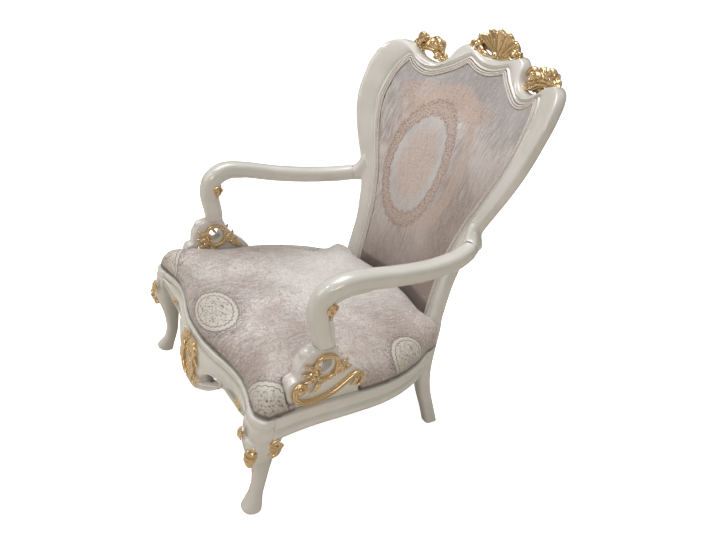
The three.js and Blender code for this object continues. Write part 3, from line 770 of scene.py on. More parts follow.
def corner_block():
    rings = []
    for depth in (0, 2, 5, 9, 14, 18, 20, 22, 24, 28, 36, 46, 56, 64, 70, 75):
        out = read(BLOCK_ROWS, depth)
        fy, sx = read(FRONT, CORNER_X) - out, read(SIDE, CORNER_Y) + out - 3
        plan = [(CORNER_X, fy), (CORNER_X + 26, fy - 5), (CORNER_X + 48, fy - 3), (sx - 8, fy + 6),
                (sx - 1, fy + 20), (sx, fy + 34)]
        curve = catmull([(x, y, 0) for x, y in plan], 24)[:, :2]
        curve = [(CORNER_X, CORNER_Y), *curve, (sx, CORNER_Y)]
        rings.append([(x, y, RAIL_TOP - depth) for x, y in curve])
    return loft(rings)


pair("cabriole_leg", join_parts([leg(), corner_block()]), lacquer, "lacquer", "front_leg",
     work=lambda piece: melt(piece, 2.6, 5))

# %% [markdown]
# The pierced brackets under the arms. Each is a flat board cut to a lobed outline, with its
# front edge carved into two round lobes and an oval hole that the gilded scroll frames.

# %% Arm brackets
# the board's outline as (y, z)
BRACKET = [
    (-264, 325.3), (-281, 345), (-290, 366), (-291, 388), (-283, 404), (-269, 411), (-270, 432),
    (-266, 452), (-256, 470), (-240, 482), (-224, 487), (-178, 487), (-162, 463), (-140, 440),
    (-115, 420), (-92, 404), (-78, 392), (-72, 372), (-79, 350), (-76, 325.3),
]
BRACKET_X, BOARD_HALF = 358.0, 18.0

def plate(outline, x0, x1):
    """A flat board of (y, z) outline from x0 to x1."""
    return loft([[(x, y, z) for y, z in outline] for x in (x0, x1)])


def turned(turn):
    """Matrix of a turn by angles about X, then Y, then Z."""
    return np.array(Matrix.Rotation(turn[2], 3, "Z") @ Matrix.Rotation(turn[1], 3, "Y")
                    @ Matrix.Rotation(turn[0], 3, "X"))


def blob(x, y, z, rx, ry, rz, turn=(0, 0, 0), rows=14, count=20):
    """A rounded lobe as a closed ball of given half sizes."""
    b = 2 * np.pi * np.arange(count) / count
    rings = []
    for a in np.linspace(.06, math.pi - .06, rows):
        ring = np.column_stack([rx * math.sin(a) * np.cos(b), ry * math.sin(a) * np.sin(b),
                                np.full(count, rz * math.cos(a))])
        rings.append(ring @ turned(turn).T + np.array([x, y, z]))
    return loft(rings)


def carve_bracket(piece):
    """Pierces the oval hole and melts board and lobes together."""
    turns = np.linspace(0, 2 * math.pi, 40, endpoint=False)
    hole = plate([(-203 + 24 * math.cos(a), 440 + 21 * math.sin(a)) for a in turns],
                 BRACKET_X - BOARD_HALF - 5, BRACKET_X + BOARD_HALF + 5)
    cut_with(piece, hole if piece.name.endswith("right") else flip_x(hole))
    melt(piece, 2.0, 9)


pair("pierced_bracket", join_parts([
    plate(catmull([(y, z, 0) for y, z in BRACKET], 150)[:, :2], BRACKET_X - BOARD_HALF, BRACKET_X + BOARD_HALF),
    blob(358, -258, 446, 20, 16, 34, (-.25, 0, 0)), blob(358, -272, 376, 20, 19, 34, (.15, 0, 0)),
    blob(358, -244, 470, 19, 20, 16), blob(358, -96, 376, 17, 20, 20), blob(358, -170, 350, 18, 84, 22),
]), lacquer, "lacquer", "arm_bracket", work=carve_bracket)
print("brackets made")

# %% [markdown]
# The gilded carving. Three forms make all of it: a strap with a groove down its back, which
# curls into scrolls; a leaf with lobed sides, a sunk midrib and slanting veins; and rounded
# beads. They overlap like real carving and are then melted into one skin, so the gold leaf
# runs over them without a seam.

# %% Straps, leaves and beads


def strap(rows, normal, stations, groove=.3, count=20):
    """Scrolling strap with a groove along its outward face."""
    def crease(along, angle):
        off = np.abs((angle + np.pi) % (2 * np.pi) - np.pi)
        return 1 - groove * np.exp(-(off / .36) ** 2) + .1 * np.exp(-((off - .9) / .3) ** 2)
    return tube(rows, stations, count, across=normal, crease=crease)


def leaf(spine, normal, lobes=3, lift=.5, stations=44, veins=.10):
    """Leaf along rows of [x, y, z, half width]: lobed sides, sunk midrib, slanting veins."""
    line = catmull(spine, stations)
    p, wide = line[:, :3], line[:, 3]
    t = unit(np.gradient(p, axis=0))
    normal = np.asarray(normal, float)
    across = unit(np.cross(t, normal))
    out = np.cross(across, t)
    out *= np.sign(out @ normal)[:, None] + (out @ normal == 0)[:, None]
    u = np.linspace(0, 1, stations)
    lobe = .74 + .26 * np.abs(np.sin(np.pi * lobes * u + .3))
    v = np.linspace(-1, 1, 17)
    rings = []
    for i in range(stations):
        w = wide[i] * lobe[i]
        ridge = np.cos(np.pi * (lobes * 2 * u[i] + 1.1 * np.abs(v) * 2))
        rib = .22 * np.exp(-(v / .13) ** 2)
        high = w * (lift * (1 - v ** 2) ** .5 - rib + veins * ridge * (1 - np.abs(v)) * 1.4)
        top = p[i] + across[i] * (w * v)[:, None] + out[i] * high[:, None]
        low = p[i] + across[i] * (w * v * .8)[:, None] - out[i] * (w * .25 * (1 - v ** 2))[:, None]
        rings.append(np.concatenate([top, low[::-1]]))
    return loft(rings)


def beads(points, radius):
    return [blob(*at, radius, radius, radius, rows=7, count=10) for at in points]


def spiral(centre, start, turns, r0, r1, wide, deep, axes, offset, count=12):
    """Rows of a strap that winds in from radius r0 to r1; axes are the two in-plane ones."""
    rows = []
    for i in range(count + 1):
        f = i / count
        a = math.radians(start + 360 * turns * f)
        r = r0 + (r1 - r0) * f ** .8
        at = [offset, offset, offset]
        at[axes[0]] = centre[0] + r * math.cos(a)
        at[axes[1]] = centre[1] + r * math.sin(a)
        rows.append((*at, deep * (1 - .2 * f), wide * (1 - .45 * f)))
    return rows


def ribbed(x, y, z, rx, ry, rz, turn, ribs, depth):
    """A lobe with flutes across it."""
    verts, faces = blob(0, 0, 0, rx, ry, rz, rows=44, count=26)
    verts[:, :2] *= 1 + depth * np.cos(verts[:, 2:] / rz * math.pi * ribs)
    return verts @ turned(turn).T + np.array([x, y, z]), faces


def gild(piece, voxel=1.3, rounds=2):
    return melt(piece, voxel, rounds, .4)


def gild_pair(name, part, node, voxel=1.3, rounds=2):
    """A carving and its mirror image, melted and gilded."""
    pair(name, part, gilding, "gilding", node, work=lambda piece: gild(piece, voxel, rounds))


print("carving forms ready")

# %% [markdown]
# Shell and leaves of the crest. The shell is a fan of flutes that lean forward and curl over
# at their tips, with a scroll at each side of its root. A leafy arch bridges each scallop of
# the crest and leaves a small hole under itself.

# %% Crest carving
# by degrees from upright: where a flute starts and where it ends
SHELL_REACH = sizes([[0, 10, 84], [25, 10, 88], [45, 12, 94], [55, 26, 98], [64, 46, 104],
                     [72, 64, 107], [82, 76, 105]])
SHELL_Y, SHELL_Z, FLUTE, FLUTE_DEPTH = 485.0, 1124.0, 26.0, 6.5
# a flute's section: share of the way out, and how far behind the shell's middle plane
FLUTE_ROWS = ((0, -9), (.2, -10), (.42, -12.5), (.64, -16), (.82, -20), (.93, -22), (1, -18),
              (1.0, -12), (.93, -9), (.8, -4), (.55, 6), (.25, 11), (0, 12))


def shell():
    rings = []
    for degrees in np.linspace(-80, 80, 161):
        a = math.radians(degrees)
        near, far = SHELL_REACH(abs(degrees))
        wave = math.cos(a * 360 / FLUTE)
        ridge = FLUTE_DEPTH * wave + 1.2
        tip = far - 11 + 12 * (.5 + .5 * wave) ** .5
        rows = []
        for f, y in FLUTE_ROWS:
            r = near + (tip - near) * f
            carved = min(f * 1.6, 1) if y < -11 or f in (.2, .42) else 0
            rows.append((r * math.sin(a), SHELL_Y + y - ridge * carved * .9, SHELL_Z + r * math.cos(a)))
        rings.append(rows)
    parts = [loft(rings)]
    for s in (1, -1):
        scroll = spiral((s * 76, 1152), 90 - s * 60, -s * 1.3, 22, 5, 6.5, 9, (0, 2), 464)
        parts += [strap(scroll, (0, 1, 0), 40), blob(s * 76, 458, 1152, 6.5, 7, 6.5),
                  leaf([(s * 20, 462, 1132, 4), (s * 44, 461, 1136, 10), (s * 66, 462, 1150, 9),
                        (s * 84, 466, 1168, 5)], (0, -1, 0))]
    return join_parts(parts + [blob(0, 468, 1136, 11, 9, 10)])


def arch_leaf():
    out, front, rear = (0, -.8, .6), (0, -1, .2), (0, 1, 0)
    return join_parts([
        leaf([(300, 408, 1104, 6), (286, 409, 1118, 17), (266, 411, 1128, 20), (248, 414, 1136, 13),
              (238, 414, 1144, 4)], out),
        leaf([(276, 412, 1110, 5), (266, 404, 1124, 13), (254, 400, 1138, 12), (250, 402, 1150, 4)],
             front, 2),
        leaf([(258, 416, 1116, 8), (238, 418, 1125, 19), (214, 424, 1130, 21), (192, 430, 1124, 16),
              (180, 434, 1108, 6)], out),
        leaf([(206, 428, 1112, 8), (188, 433, 1101, 15), (172, 437, 1088, 13), (160, 439, 1077, 6)],
             (-.3, -.8, .3), 2),
        leaf([(304, 404, 1112, 6), (290, 406, 1106, 15), (274, 410, 1100, 15), (260, 415, 1092, 9),
              (250, 419, 1087, 3)], out),
        leaf([(236, 444, 1080, 4), (218, 446, 1088, 15), (198, 447, 1091, 18), (178, 447, 1086, 12)],
             rear, 3, .3),
        leaf([(222, 424, 1104, 5), (206, 428, 1098, 13), (188, 433, 1088, 13), (172, 438, 1080, 7)], out),
        strap([(296, 420, 1098, 9, 7), (268, 424, 1104, 11, 8), (238, 429, 1106, 11, 8),
               (208, 436, 1097, 10, 8), (184, 440, 1083, 9, 7)], rear, 40),
        strap([(292, 420, 1102, 9, 6), (268, 424, 1114, 11, 9), (236, 429, 1117, 11, 9),
               (204, 436, 1106, 10, 8), (178, 441, 1088, 9, 7), (162, 443, 1077, 6, 5)], rear, 40),
        strap(spiral((200, 1122), 210, -1.2, 19, 5, 7.5, 10, (0, 2), 418), rear, 40),
        blob(200, 410, 1122, 7, 7, 7),
        strap(spiral((262, 1134), -20, 1.0, 15, 6, 6, 9, (0, 2), 406), rear, 30),
    ])


dress(gild(make("shell", shell()), 1.4, 8), gilding, "gilding", "crest_shell")
gild_pair("arch_leaf", arch_leaf(), "crest_leaf", 1.4, 5)
print("crest carving made")

# %% [markdown]
# Bracket carving. A big S-scroll lies along the lower edge: its front end winds round a boss,
# its rear end rises over the board and curls down. Above it a ring-shaped scroll frames the
# pierced oval, with a flower and leaves on its front side. The arm's support has a leaf in
# its hollow edge, with a curled button on each side.

# %% Bracket carving
FACE_X = 377.0
# scrolls as (y, z, half width) and leaves as (y, z, height over the board, half width)
S_SCROLL = [
    (-252, 374, 4), (-243, 386, 5), (-257, 399, 6), (-272, 388, 6.5), (-272, 366, 7), (-256, 347, 7),
    (-226, 339, 7), (-192, 343, 7.5), (-162, 354, 7.5), (-136, 372, 7), (-112, 391, 7), (-93, 394, 6.5),
    (-80, 382, 6), (-82, 364, 5), (-92, 356, 3.5),
]
RING_SCROLL = [
    (-214, 436, 3.5), (-228, 450, 5), (-219, 466, 6), (-199, 470, 6.5), (-178, 462, 6.5),
    (-167, 444, 6.5), (-168, 424, 6), (-178, 409, 6), (-197, 402, 5), (-216, 404, 4),
]
FLOWER_LEAVES = [
    [(-214, 432, 3, 4), (-232, 440, 5, 9), (-248, 446, 5, 8), (-258, 456, 3, 3)],
    [(-214, 424, 3, 4), (-234, 424, 6, 9), (-250, 424, 5, 8), (-262, 430, 3, 3)],
    [(-210, 414, 3, 4), (-228, 408, 6, 9), (-244, 402, 5, 7), (-256, 404, 3, 3)],
    [(-172, 418, 3, 5), (-158, 430, 6, 10), (-146, 444, 5, 8), (-142, 456, 3, 3)],
    [(-168, 414, 3, 5), (-150, 420, 6, 10), (-134, 424, 5, 7), (-120, 424, 2, 3)],
    [(-206, 402, 3, 4), (-212, 388, 6, 9), (-220, 374, 5, 7), (-232, 364, 3, 3)],
]
HOLE_LEAF = [(-196, 442, -6, 3), (-204, 452, -2, 6), (-212, 462, 2, 5), (-218, 470, 3, 3)]
TAIL_LEAF = [(-100, 386, 3, 4), (-98, 374, 5, 7), (-104, 362, 4, 6), (-112, 356, 2, 3)]
INNER_LEAVES = [
    [(-226, 404, 3, 5), (-246, 396, 6, 10), (-262, 384, 5, 8), (-270, 368, 2, 3)],
    [(-160, 420, 3, 5), (-136, 410, 5, 10), (-116, 398, 4, 8), (-100, 392, 2, 3)],
]


def bracket_carving(tail):
    """The ring scroll with its flower; the outer face has the S-scroll too, the inner one leaves."""
    out = (1, 0, 0)

    def leaves(groups, lobes=3):
        return [leaf([(FACE_X + lift, y, z, w) for y, z, lift, w in rows], out, lobes) for rows in groups]

    parts = [strap([(FACE_X + 3, y, z, 7.5, w * .95) for y, z, w in RING_SCROLL], out, 80, .35)]
    parts += leaves(FLOWER_LEAVES) + leaves([HOLE_LEAF], 2)
    parts += beads([(FACE_X + 8, y, z) for y, z in
                    ((-222, 424), (-228, 414), (-218, 412), (-226, 432), (-212, 420))], 4.2)
    parts += beads([(FACE_X + 4, -200 + 9 * i, 392 + 3.2 * i) for i in range(5)], 3.6)
    if tail:
        parts.append(strap([(FACE_X + 3.5, y, z, 8.5, w) for y, z, w in S_SCROLL], out, 150, .42))
        parts.append(blob(FACE_X + 3, -257, 380, 10, 12, 13))
    return join_parts(parts + leaves([TAIL_LEAF] if tail else INNER_LEAVES))


def turned_in(part):
    """The same carving on the bracket's other face."""
    verts, faces = part
    verts[:, 0] = 2 * BRACKET_X - verts[:, 0]
    return verts, faces


def bud():
    """Leaf round the hollow edge of the arm's support, with a curled button on each side."""
    parts = [leaf([(352, -204, 610, 8), (352, -197, 598, 21), (352, -196, 584, 20), (352, -200, 566, 6)],
                  (0, 1, 0))]
    for s in (1, -1):
        x = 352 + s * 20
        curl = spiral((-212, 594), 60, 1.3, 13, 4, 4.5, 8, (1, 2), x + s * 4)
        parts += [blob(x + s * 2, -212, 594, 7, 11, 12), strap(curl, (1, 0, 0), 34),
                  leaf([(x, -206, 586, 8), (x - s, -205, 574, 8), (x - s * 3, -206, 560, 3)], (s, .6, 0), 2)]
    return join_parts(parts)


gild_pair("bracket_carving_outer", bracket_carving(True), "bracket_scroll_outer")
gild_pair("bracket_carving_inner", turned_in(bracket_carving(False)), "bracket_scroll_inner")
gild_pair("bud", bud(), "arm_bud")
print("bracket carving made")

# %% [markdown]
# Apron and knees. The cartouche in the middle of the apron is a lattice between two scrolls
# under a crown of leaves; small leaves sit in the second lobes. Each knee has a fluted scroll
# on its corner and a leaf on either side.

# %% Apron and knee carving
# (x, z, half width) of the cartouche's side scroll
SIDE_SCROLL = [(14, 300, 5), (34, 297, 6), (43, 276, 6.5), (33, 253, 6.5), (41, 230, 6.5), (37, 203, 6),
               (20, 184, 5), (6, 178, 4)]
# (x, how far behind the rail's face, z, half width)
CROWN_LEAF = [(8, -6, 300, 4), (20, -9, 308, 9), (34, -8, 314, 7), (44, -5, 314, 3)]
WING_LEAVES = [
    [(34, -5, 262, 3), (48, -6, 258, 8), (58, -5, 246, 6), (60, -3, 236, 2)],
    [(38, -4, 206, 3), (54, -5, 202, 8), (70, -3, 208, 7), (84, -1, 216, 2)],
    [(20, -4, 186, 3), (34, -4, 176, 7), (50, -2, 178, 6), (64, 0, 186, 2)],
]
TOP_LEAF = [(0, -6, 296, 4), (0, -11, 306, 9), (0, -10, 316, 7), (0, -7, 322, 3)]
# (x, z, half width), on the rail's face
LOBE_LEAVES = [
    [(236, 286, 3), (243, 278, 7), (252, 270, 8), (262, 266, 3)],
    [(250, 278, 3), (258, 268, 7), (262, 256, 7), (258, 248, 2)],
    [(240, 272, 3), (238, 262, 6), (244, 252, 6), (252, 250, 2)],
]
FORWARD = (0, -1, 0)


def apron_middle():
    y = read(FRONT, 0)
    parts = []
    for s in (1, -1):
        parts.append(strap([(s * a, y - 6, b, 8, c) for a, b, c in SIDE_SCROLL], FORWARD, 90, .4))
        parts += [leaf([(s * a, y + d, b, w) for a, d, b, w in rows], FORWARD)
                  for rows in [CROWN_LEAF] + WING_LEAVES]
        parts.append(strap(spiral((s * 24, 286), 90, -s * 1.2, 11, 3, 3.4, 6, (0, 2), y - 6), FORWARD, 24))
    parts.append(leaf([(a, y + d, b, w) for a, d, b, w in TOP_LEAF], FORWARD))
    parts += [blob(0, y + 2, 262, 26, 7, 34), blob(0, y + 5, 208, 24, 7, 30)]
    lattice = []
    for i in range(-2, 3):
        for k in range(9):
            x, z = i * 10 + (k % 2) * 5, 186 + k * 12
            if abs(x) < 26 and not 228 < z < 236:
                lattice.append((x, y - 3 - (2 if z > 236 else 0), z))
    return join_parts(parts + beads(lattice, 4.6))


def apron_side():
    return join_parts([leaf([(a, read(FRONT, a) - 2.5, b, w) for a, b, w in rows], FORWARD)
                       for rows in LOBE_LEAVES])


def knee_side():
    out = (1, .1, 0)
    rows = [(-306, 262, 4), (-318, 256, 5), (-322, 244, 5), (-312, 234, 5), (-302, 224, 5),
            (-304, 210, 4.5), (-314, 204, 3.5)]
    rows = [(397 - .12 * (262 - z), -312 + 1.25 * (y + 312), z, 8, w * 1.5) for y, z, w in rows]
    return join_parts([
        strap(rows, out, 50, .35), blob(392, -312, 236, 5, 9, 26),
        leaf([(398, -304, 250, 3), (399, -296, 242, 7), (396, -294, 230, 6), (393, -298, 220, 2)], out),
        leaf([(396, -318, 236, 3), (397, -324, 226, 7), (393, -322, 214, 6), (389, -316, 204, 2)], out),
    ])


def knee_front():
    return join_parts([
        leaf([(350, -379, 288, 3), (350, -384, 276, 9), (350, -384, 260, 10), (350, -378, 242, 3)],
             FORWARD, 4),
        leaf([(344, -379, 272, 3), (338, -380, 262, 7), (336, -378, 250, 6), (339, -374, 242, 2)], FORWARD),
        strap(spiral((352, 268), 120, 1.1, 10, 3, 3.4, 5, (0, 2), -382), FORWARD, 24),
    ])


KNEE_TURN = (0, .12, .8)
dress(gild(make("cartouche", apron_middle())), gilding, "gilding", "apron_cartouche")
gild_pair("lobe_leaf", apron_side(), "apron_leaf")
gild_pair("fluted_knee_scroll", join_parts([
    ribbed(386, -367, 223, 15, 15, 33, KNEE_TURN, 4.5, .12),
    ribbed(380, -363, 187, 9, 9, 10, KNEE_TURN, 1, .06)]), "knee_scroll")
gild_pair("knee_side_leaf", knee_side(), "knee_leaf_side")
gild_pair("knee_front_leaf", knee_front(), "knee_leaf_front")
print("apron and knee carving made")

# %% [markdown]
# The damask is a silvery lilac satin with a woven pattern in blush and peach. The pattern is
# drawn in the shader from the cloth's own place: a fine lace of scrolls everywhere, a large
# oval medallion on the back and cream ovals on the seat. Each motif is a set of rings and
# petals round a centre, which gives masks for the colours.

# %% Damask groups


def petals(tree, radius, angle, middle, width, count, wave, phase=0.0):
    """Mask of a ring of given middle radius whose edge waves count times round."""
    turn = math_node(tree, "ADD", product(tree, angle, float(count)), phase)
    swing = product(tree, math_node(tree, "COSINE", turn), wave)
    off = math_node(tree, "SUBTRACT", math_node(tree, "SUBTRACT", radius, swing), middle)
    return ramp(tree, math_node(tree, "ABSOLUTE", off), width, width * .45)


motif, given, result = group_of(
    "damask medallion", ("Field", "Band", "Core", "Edge", "Around", "Sprig"),
    Vector=NO_VECTOR, Centre=NO_VECTOR, Half_Size=(1, 1, 1))
from_centre = vector_math(motif, "SUBTRACT", given["Vector"], given["Centre"])
across, up, _ = split(motif, vector_math(motif, "DIVIDE", from_centre, given["Half Size"]))
plain = math_node(motif, "SQRT", math_node(
    motif, "ADD", product(motif, across, across), product(motif, up, up)))
angle = math_node(motif, "ARCTAN2", across, up)
wobble = math_node(motif, "SUBTRACT", noise_node(motif, given["Vector"], 70, 3), .5)
radius = math_node(motif, "ADD", plain, product(motif, wobble, .34))
outer = math_node(motif, "ADD", plain, product(motif, wobble, .10))
field = ramp(motif, outer, 1.02, .98)
edge = math_node(motif, "MAXIMUM", petals(motif, outer, angle, .985, .05, 30, .014),
                 petals(motif, outer, angle, .78, .035, 24, .02))
beside = math_node(motif, "ABSOLUTE", math_node(motif, "SUBTRACT", outer, 1.13))
flower = math_node(motif, "MAXIMUM", petals(motif, radius, angle, .30, .085, 6, .11),
                   petals(motif, radius, angle, .58, .075, 9, .09, 1.0))
flower = math_node(motif, "MAXIMUM", flower, ramp(motif, radius, .13, .09))
broken = ramp(motif, noise_node(motif, given["Vector"], 130, 2), .40, .58)
give(motif, result, Field=field, Band=product(motif, ramp(motif, outer, .74, .80), field),
     Core=ramp(motif, radius, .72, .40), Edge=edge, Around=ramp(motif, beside, .13, .08),
     Sprig=product(motif, flower, broken))

scrolls, given, result = group_of(
    "damask scrolls", ("Lines", "Patches", "Thread", "Specks"), Vector=NO_VECTOR, Scale=30.0, Turns=24.0)
warp = noise_node(scrolls, given["Vector"], given["Scale"], 1)
bands = math_node(scrolls, "SINE", product(scrolls, warp, given["Turns"]))
cells = node(scrolls, "ShaderNodeTexVoronoi", feature="SMOOTH_F1")
filled(scrolls, cells, ("Smoothness", .3), ("Vector", given["Vector"]),
       ("Scale", product(scrolls, given["Scale"], 1.7)))
threads = vector_math(scrolls, "MULTIPLY", given["Vector"], (900, 900, 900))
give(scrolls, result, Lines=ramp(scrolls, math_node(scrolls, "ABSOLUTE", bands), .55, .20),
     Patches=ramp(scrolls, cells.outputs["Distance"], .42, .30),
     Thread=noise_node(scrolls, threads, 1, 1),
     Specks=ramp(scrolls, noise_node(scrolls, given["Vector"], 190, 2, .6), .46, .60))
print("damask groups ready")

# %% [markdown]
# The cloths. Satin first: a painted sheen of light and dark tones that drift over it, and painted
# sheen streaks along the thread. The pattern is then laid over it as tints, broad painted shade
# before fine lines. The outside back has the same satin and painted sheen without the pattern,
# and the piping is a twisted cord.

# %% Damask on the back and on the seat
SEAT_MIDDLE = -50.0
SATIN, SATIN_SHEEN, SATIN_BRIGHT = (0.42, 0.37, 0.355), (0.76, 0.715, 0.695), (0.86, 0.84, 0.84)
BLUSH, PEACH, CREAM = (0.46, 0.30, 0.235), (0.62, 0.47, 0.39), (0.68, 0.645, 0.58)
GREY_BROWN, RUST, UMBER = (0.17, 0.13, 0.11), (0.26, 0.15, 0.10), (0.30, 0.225, 0.185)
PEARL_GREY, PEARL, STEEL = (0.30, 0.275, 0.265), (0.60, 0.60, 0.61), (0.27, 0.255, 0.26)
# the first two tints on the next line are painted light: shade in crevices between parts, and a sheen
CREVICE_SHADE, PAINTED_SHEEN, ROSE_BROWN = (0.09, 0.065, 0.05), (0.90, 0.885, 0.88), (0.36, 0.25, 0.215)
CORD_DARK, CORD_LIGHT = (.56, .50, .46), (.76, .71, .66)


def damask_base(name, plane, sheen_scale, broad_share=1.0):
    """Satin with a painted soft sheen of drifting light and dark tones and bright streaks; plane names the two
    in-plane axes, as 'XZ' or 'XY'.
    """
    material, tree, shader = material_of(name, .40, sheen=.25)
    place = object_space(tree)
    axes = split(tree, place)
    flat = filled(tree, node(tree, "ShaderNodeCombineXYZ"), (0, axes[plane[0]]), (1, axes[plane[1]]))
    # painted sheen: broad light and dark patches, then fine bright streaks along the thread
    broad = ramp(tree, noise_node(tree, flat, sheen_scale, 2), .38, .64)
    fine = noise_node(tree, vector_math(tree, "MULTIPLY", flat, (1, .16, 1)), 150, 2)
    colour = paint(tree, SATIN, (SATIN_SHEEN, broad, broad_share),
                   (SATIN_BRIGHT, ramp(tree, fine, .40, .64), .45))
    return material, tree, shader, place, flat, colour


def place_motif(tree, flat, centre, half):
    """The medallion's masks, its centre and half size given in millimetres."""
    return use(tree, motif, Vector=flat, Centre=(centre[0] / 1000, centre[1] / 1000, 0),
               Half_Size=(half[0] / 1000, half[1] / 1000, 1))


def finish_cloth(tree, shader, colour, web):
    feed(tree, shader.inputs["Base Color"], colour)
    bump(tree, shader, math_node(tree, "ADD", web["Thread"], product(tree, web["Lines"], .8)), .22, .0006)


back_cloth, tree, shader, place, flat, colour = damask_base("damask_back", "XZ", 5.0, .75)
web = use(tree, scrolls, Vector=flat, Scale=24.0, Turns=30.0)
small_web = use(tree, scrolls, Vector=flat, Scale=45.0, Turns=26.0)
sideways, _, height = split(tree, place)
specks = math_node(tree, "ADD", product(tree, web["Specks"], .6), .4)
# painted shade: under the crest, at the lower right, toward the seat
colour = paint(
    tree, colour, (STEEL, ramp(tree, height, .91, 1.04), .6),
    (UMBER, ramp(tree, sideways, -.06, .16), ramp(tree, height, 1.0, .66), .66),
    (UMBER, ramp(tree, height, .64, .44), .6),
    (SATIN_BRIGHT, web["Lines"], .12), (GREY_BROWN, web["Specks"], .12))
for centre, half, strength in (((-64, 978), (190, 46), .6), ((-138, 930), (90, 34), .35)):
    lace = place_motif(tree, flat, centre, half)["Field"]
    colour = paint(tree, colour, (PEACH, lace, specks, strength),
                   (RUST, lace, small_web["Lines"], strength * .9))
ring = place_motif(tree, flat, (-38, 800), (172, 238))["Band"]
oval = place_motif(tree, flat, (-70, 774), (128, 205))
colour = paint(
    tree, colour, (PEACH, ring, specks, .6), (RUST, ring, small_web["Lines"], .18),
    (PEARL, oval["Field"], .6), (BLUSH, oval["Band"], specks, .95), (PEACH, oval["Core"], specks, .85),
    (BLUSH, oval["Core"], small_web["Lines"], .35),
    (GREY_BROWN, oval["Core"], oval["Sprig"], web["Specks"], .35), (RUST, oval["Edge"], specks, .6),
    (CREAM, oval["Band"], small_web["Lines"], .45), (RUST, oval["Band"], small_web["Specks"], .35),
    # painted shade: a dark line where the back meets the seat, and a warm darkening lower down
    (CREVICE_SHADE, ramp(tree, height, .424, .408), .7), (UMBER, ramp(tree, height, .74, .5), .22))
finish_cloth(tree, shader, colour, web)

seat_cloth, tree, shader, place, flat, colour = damask_base("damask_seat", "XY", 4.0)
web = use(tree, scrolls, Vector=place, Scale=24.0, Turns=26.0)
fine_web = use(tree, scrolls, Vector=place, Scale=48.0, Turns=24.0)
big_web = use(tree, scrolls, Vector=place, Scale=9.0, Turns=16.0)
sideways, _, height = split(tree, place)
fall = ramp(tree, height, .402, .375)
more_below = product(tree, fall, .1)
# the pattern runs over the rounded edge: points are pushed out by how far they have dropped
from_middle = vector_math(tree, "SUBTRACT", flat, (0, (SEAT_MIDDLE - MIDDLE_Y) / 1000, 0))
drop = product(tree, math_node(tree, "SUBTRACT", .405, height), .9)
push = filled(tree, node(tree, "ShaderNodeVectorMath", operation="SCALE"),
              (0, vector_math(tree, "NORMALIZE", from_middle)), ("Scale", drop))
flat = vector_math(tree, "ADD", flat, push)
# a painted sheen makes the middle of the seat pale, and painted shade darkens the near side
sheen_spot = node(tree, "ShaderNodeVectorMath", operation="DISTANCE")
filled(tree, sheen_spot, (0, flat), (1, (-.06, .05, 0)))
colour = paint(
    # painted shade: PEARL_GREY on the fall darkens the cloth where it turns down from the light
    tree, colour, (PEARL_GREY, fall, .22), (PEACH, web["Patches"], .3),
    (CREAM, fine_web["Lines"], math_node(tree, "ADD", more_below, .5)),
    (ROSE_BROWN, big_web["Lines"], .22),
    (ROSE_BROWN, web["Lines"], math_node(tree, "ADD", more_below, .42)),
    (GREY_BROWN, web["Specks"], math_node(tree, "ADD", more_below, .22)),
    # painted sheen: a pale patch in the middle of the seat
    (PAINTED_SHEEN, ramp(tree, sheen_spot.outputs["Value"], .30, .06), .42),
    # painted shade on the near side
    (UMBER, ramp(tree, sideways, .08, .32), .34))
for centre, half in (((12, -397), (95, 74)), ((408, -428), (80, 88)), ((-380, -428), (80, 88)),
                     ((374, 72), (82, 76)), ((-346, 72), (82, 76))):
    oval = place_motif(tree, flat, centre, half)
    colour = paint(
        tree, colour, (GREY_BROWN, oval["Around"], fine_web["Lines"], .9), (CREAM, oval["Field"], .72),
        (PEARL_GREY, oval["Core"], web["Specks"], .55), (ROSE_BROWN, oval["Sprig"], .25),
        (GREY_BROWN, ramp(tree, oval["Sprig"], 0, 1), web["Specks"], .95), (GREY_BROWN, oval["Edge"], .75))
# a darker band with cream lines along the lower edge
border = ramp(tree, height, .352, .347)
colour = paint(tree, colour, (GREY_BROWN, border, .35), (CREAM, border, fine_web["Lines"], .5),
               # painted shadow line where the seat meets the rail
               (CREVICE_SHADE, ramp(tree, height, .342, .336), .85))
finish_cloth(tree, shader, colour, web)

outside_cloth, tree, shader, place, flat, colour = damask_base("outside_satin", "XZ", 3.0, .4)
finish_cloth(tree, shader, colour, use(tree, scrolls, Vector=flat, Scale=24.0, Turns=26.0))

cord, tree, shader = material_of("piping_cord", .5, sheen=.3)
twist = noise_node(tree, object_space(tree), 420, 2)
feed(tree, shader.inputs["Base Color"], mix(tree, ramp(tree, twist, .4, .6), CORD_DARK, CORD_LIGHT))
bump(tree, shader, twist, .4, .0006)
print("cloth ready")

# %% [markdown]
# The inside back is a padded panel in the frame's opening. Its edge follows the inner edge of
# the stiles and the crest; the stuffing swells it toward the sitter, so it is blown up a
# little with cloth pressure. A double cord is sewn round it, against the wood.

# %% Inside back
PANEL_BOTTOM, PANEL_MIDDLE = 342.0, 730.0
PAD_INSET, PAD_EDGE, PAD_CROWN, PAD_REAR = 7.5, 3.5, 20.0, 34.0     # millimetres
REAR_SHARES = (.02, .3, .6, .85, 1)


